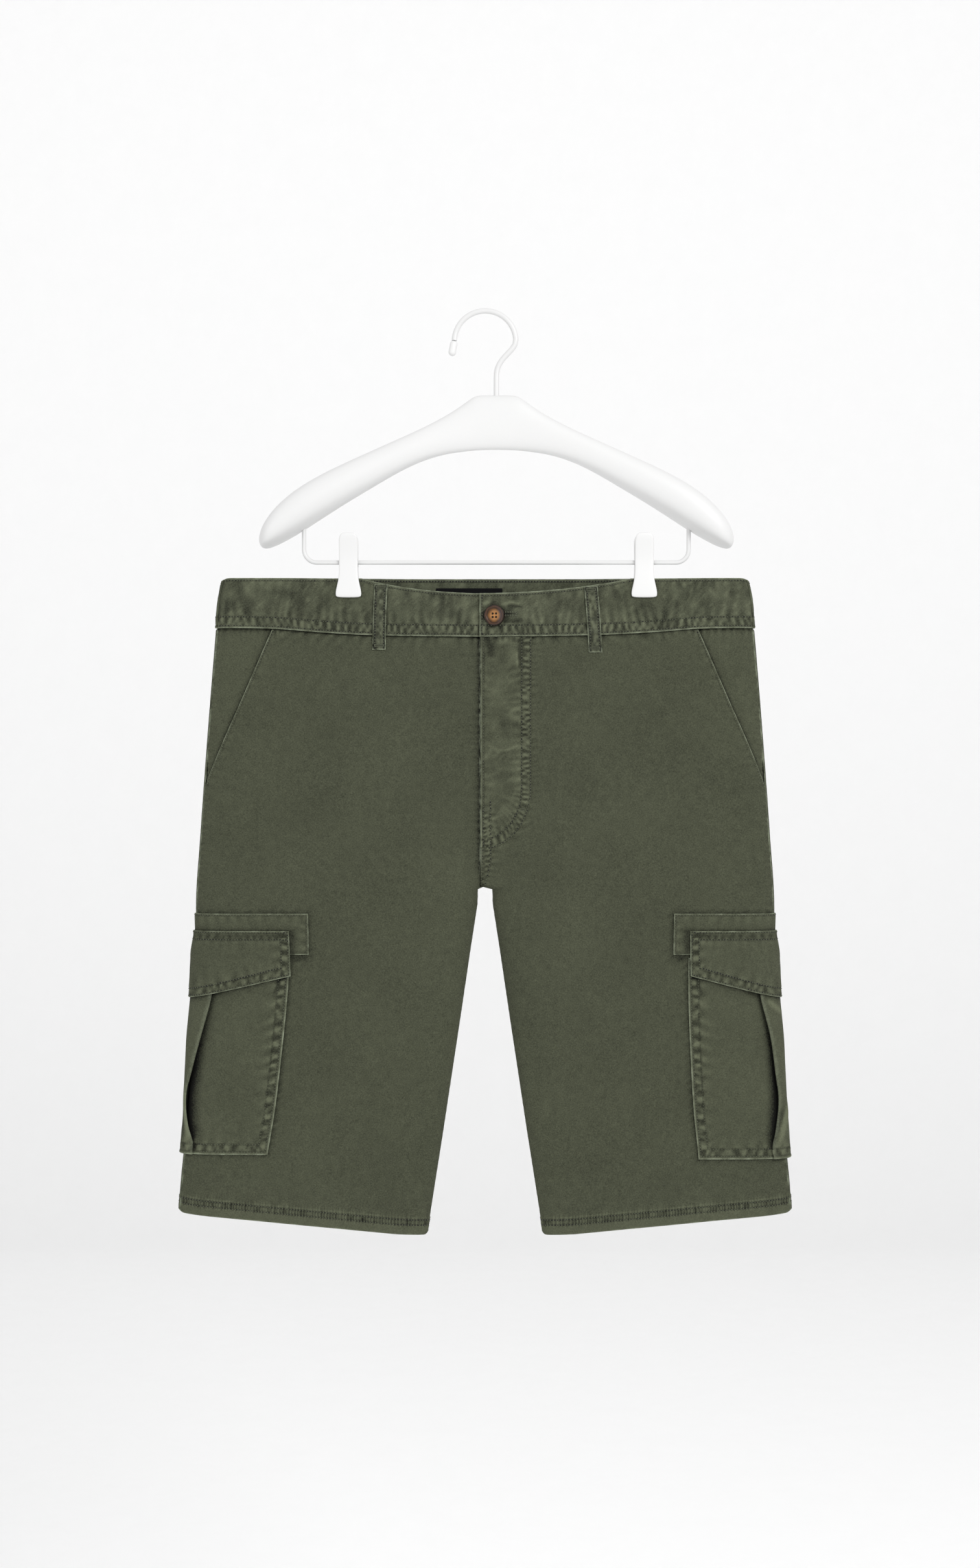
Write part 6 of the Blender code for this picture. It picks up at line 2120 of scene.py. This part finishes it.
class SHORTS_OT_panels(Step, bpy.types.Operator):
    """Add the four panels, the two hip facings and their sewing"""

    bl_idname = "shorts.panels"
    bl_label = "Panels"

    def execute(self, context):
        for side_name in SIDES:
            for face_name in FACES:
                add_panel(face_name, side_name)
            add_hip_facing(side_name)
        sew_panels()
        return {"FINISHED"}


class SHORTS_OT_waistband(Step, bpy.types.Operator):
    """Add the three strips of the waistband and their sewing"""

    bl_idname = "shorts.waistband"
    bl_label = "Waistband"

    def execute(self, context):
        for side_name in SIDES:
            add_front_band(side_name)
        add_back_band()
        sew_bands()
        return {"FINISHED"}


class SHORTS_OT_fly(Step, bpy.types.Operator):
    """Add the strip of the fly and its sewing"""

    bl_idname = "shorts.fly"
    bl_label = "Fly"

    def execute(self, context):
        add_fly()
        return {"FINISHED"}


class SHORTS_OT_belt_loops(Step, bpy.types.Operator):
    """Add the five belt loops and their tacks"""

    bl_idname = "shorts.belt_loops"
    bl_label = "Belt loops"

    def execute(self, context):
        sewing = Sewing()
        for name, top_x, low_x, face in LOOPS:
            add_loop(name, top_x, low_x, face, sewing)
        sewing.make("stitching_belt_loops")
        return {"FINISHED"}


class SHORTS_OT_label(Step, bpy.types.Operator):
    """Add the label inside the back of the waistband"""

    bl_idname = "shorts.label"
    bl_label = "Label"

    def execute(self, context):
        add_label()
        return {"FINISHED"}


class SHORTS_OT_cargo_pockets(Step, bpy.types.Operator):
    """Add the patches, pleated bags and flaps of both cargo pockets"""

    bl_idname = "shorts.cargo_pockets"
    bl_label = "Cargo pockets"

    def execute(self, context):
        for side_name in SIDES:
            add_patch(side_name)
            add_bag(side_name)
            add_flap(side_name)
        sew_pockets()
        return {"FINISHED"}


class SHORTS_OT_button(Step, bpy.types.Operator):
    """Add the button, its thread and the buttonhole's"""

    bl_idname = "shorts.button"
    bl_label = "Button"

    def execute(self, context):
        add_button()
        return {"FINISHED"}


class SHORTS_OT_hanger(Step, bpy.types.Operator):
    """Add the hanger's body, hook, sleeve and trouser bar"""

    bl_idname = "shorts.hanger"
    bl_label = "Hanger"

    def execute(self, context):
        add_hanger_body()
        add_hook()
        add_bar()
        return {"FINISHED"}


class SHORTS_OT_clips(Step, bpy.types.Operator):
    """Add the four jaws of the two clips"""

    bl_idname = "shorts.clips"
    bl_label = "Clips"

    def execute(self, context):
        for face_name in FACES:
            for side_name in SIDES:
                add_jaw(face_name, side_name)
        return {"FINISHED"}


class SHORTS_OT_stage(Step, bpy.types.Operator):
    """Add the backdrop, the lights and the camera"""

    bl_idname = "shorts.stage"
    bl_label = "Stage"

    def execute(self, context):
        add_stage(context.scene.shorts_stage)
        return {"FINISHED"}


OPERATORS = (
    SHORTS_OT_panels,
    SHORTS_OT_waistband,
    SHORTS_OT_fly,
    SHORTS_OT_belt_loops,
    SHORTS_OT_label,
    SHORTS_OT_cargo_pockets,
    SHORTS_OT_button,
    SHORTS_OT_hanger,
    SHORTS_OT_clips,
    SHORTS_OT_stage,
)
GROUPS = {
    "shorts_cloth": ShortsClothProperties,
    "shorts_hanger": ShortsHangerProperties,
    "shorts_stage": ShortsStageProperties,
}


class SHORTS_PT_pieces(bpy.types.Panel):
    """The pieces in the order in which they are made, and their sizes and colours"""

    bl_idname = "SHORTS_PT_pieces"
    bl_label = "Cargo shorts"
    bl_space_type = "VIEW_3D"
    bl_region_type = "UI"
    bl_category = "Shorts"

    def draw(self, context):
        for operator in OPERATORS:
            self.layout.operator(operator.bl_idname)
        for name, group in GROUPS.items():
            values = getattr(context.scene, name)
            for key in group.__annotations__:
                self.layout.prop(values, key)


CLASSES = (*GROUPS.values(), *OPERATORS, SHORTS_PT_pieces)


def register():
    for made in CLASSES:
        bpy.utils.register_class(made)
    for name, group in GROUPS.items():
        setattr(bpy.types.Scene, name, PointerProperty(type=group))


def unregister():
    for name in GROUPS:
        delattr(bpy.types.Scene, name)
    for made in reversed(CLASSES):
        bpy.utils.unregister_class(made)


def main():
    register()
    for operator in OPERATORS:
        group, name = operator.bl_idname.split(".")
        getattr(getattr(bpy.ops, group), name)()
    deselect()


if __name__ == "__main__":
    main()
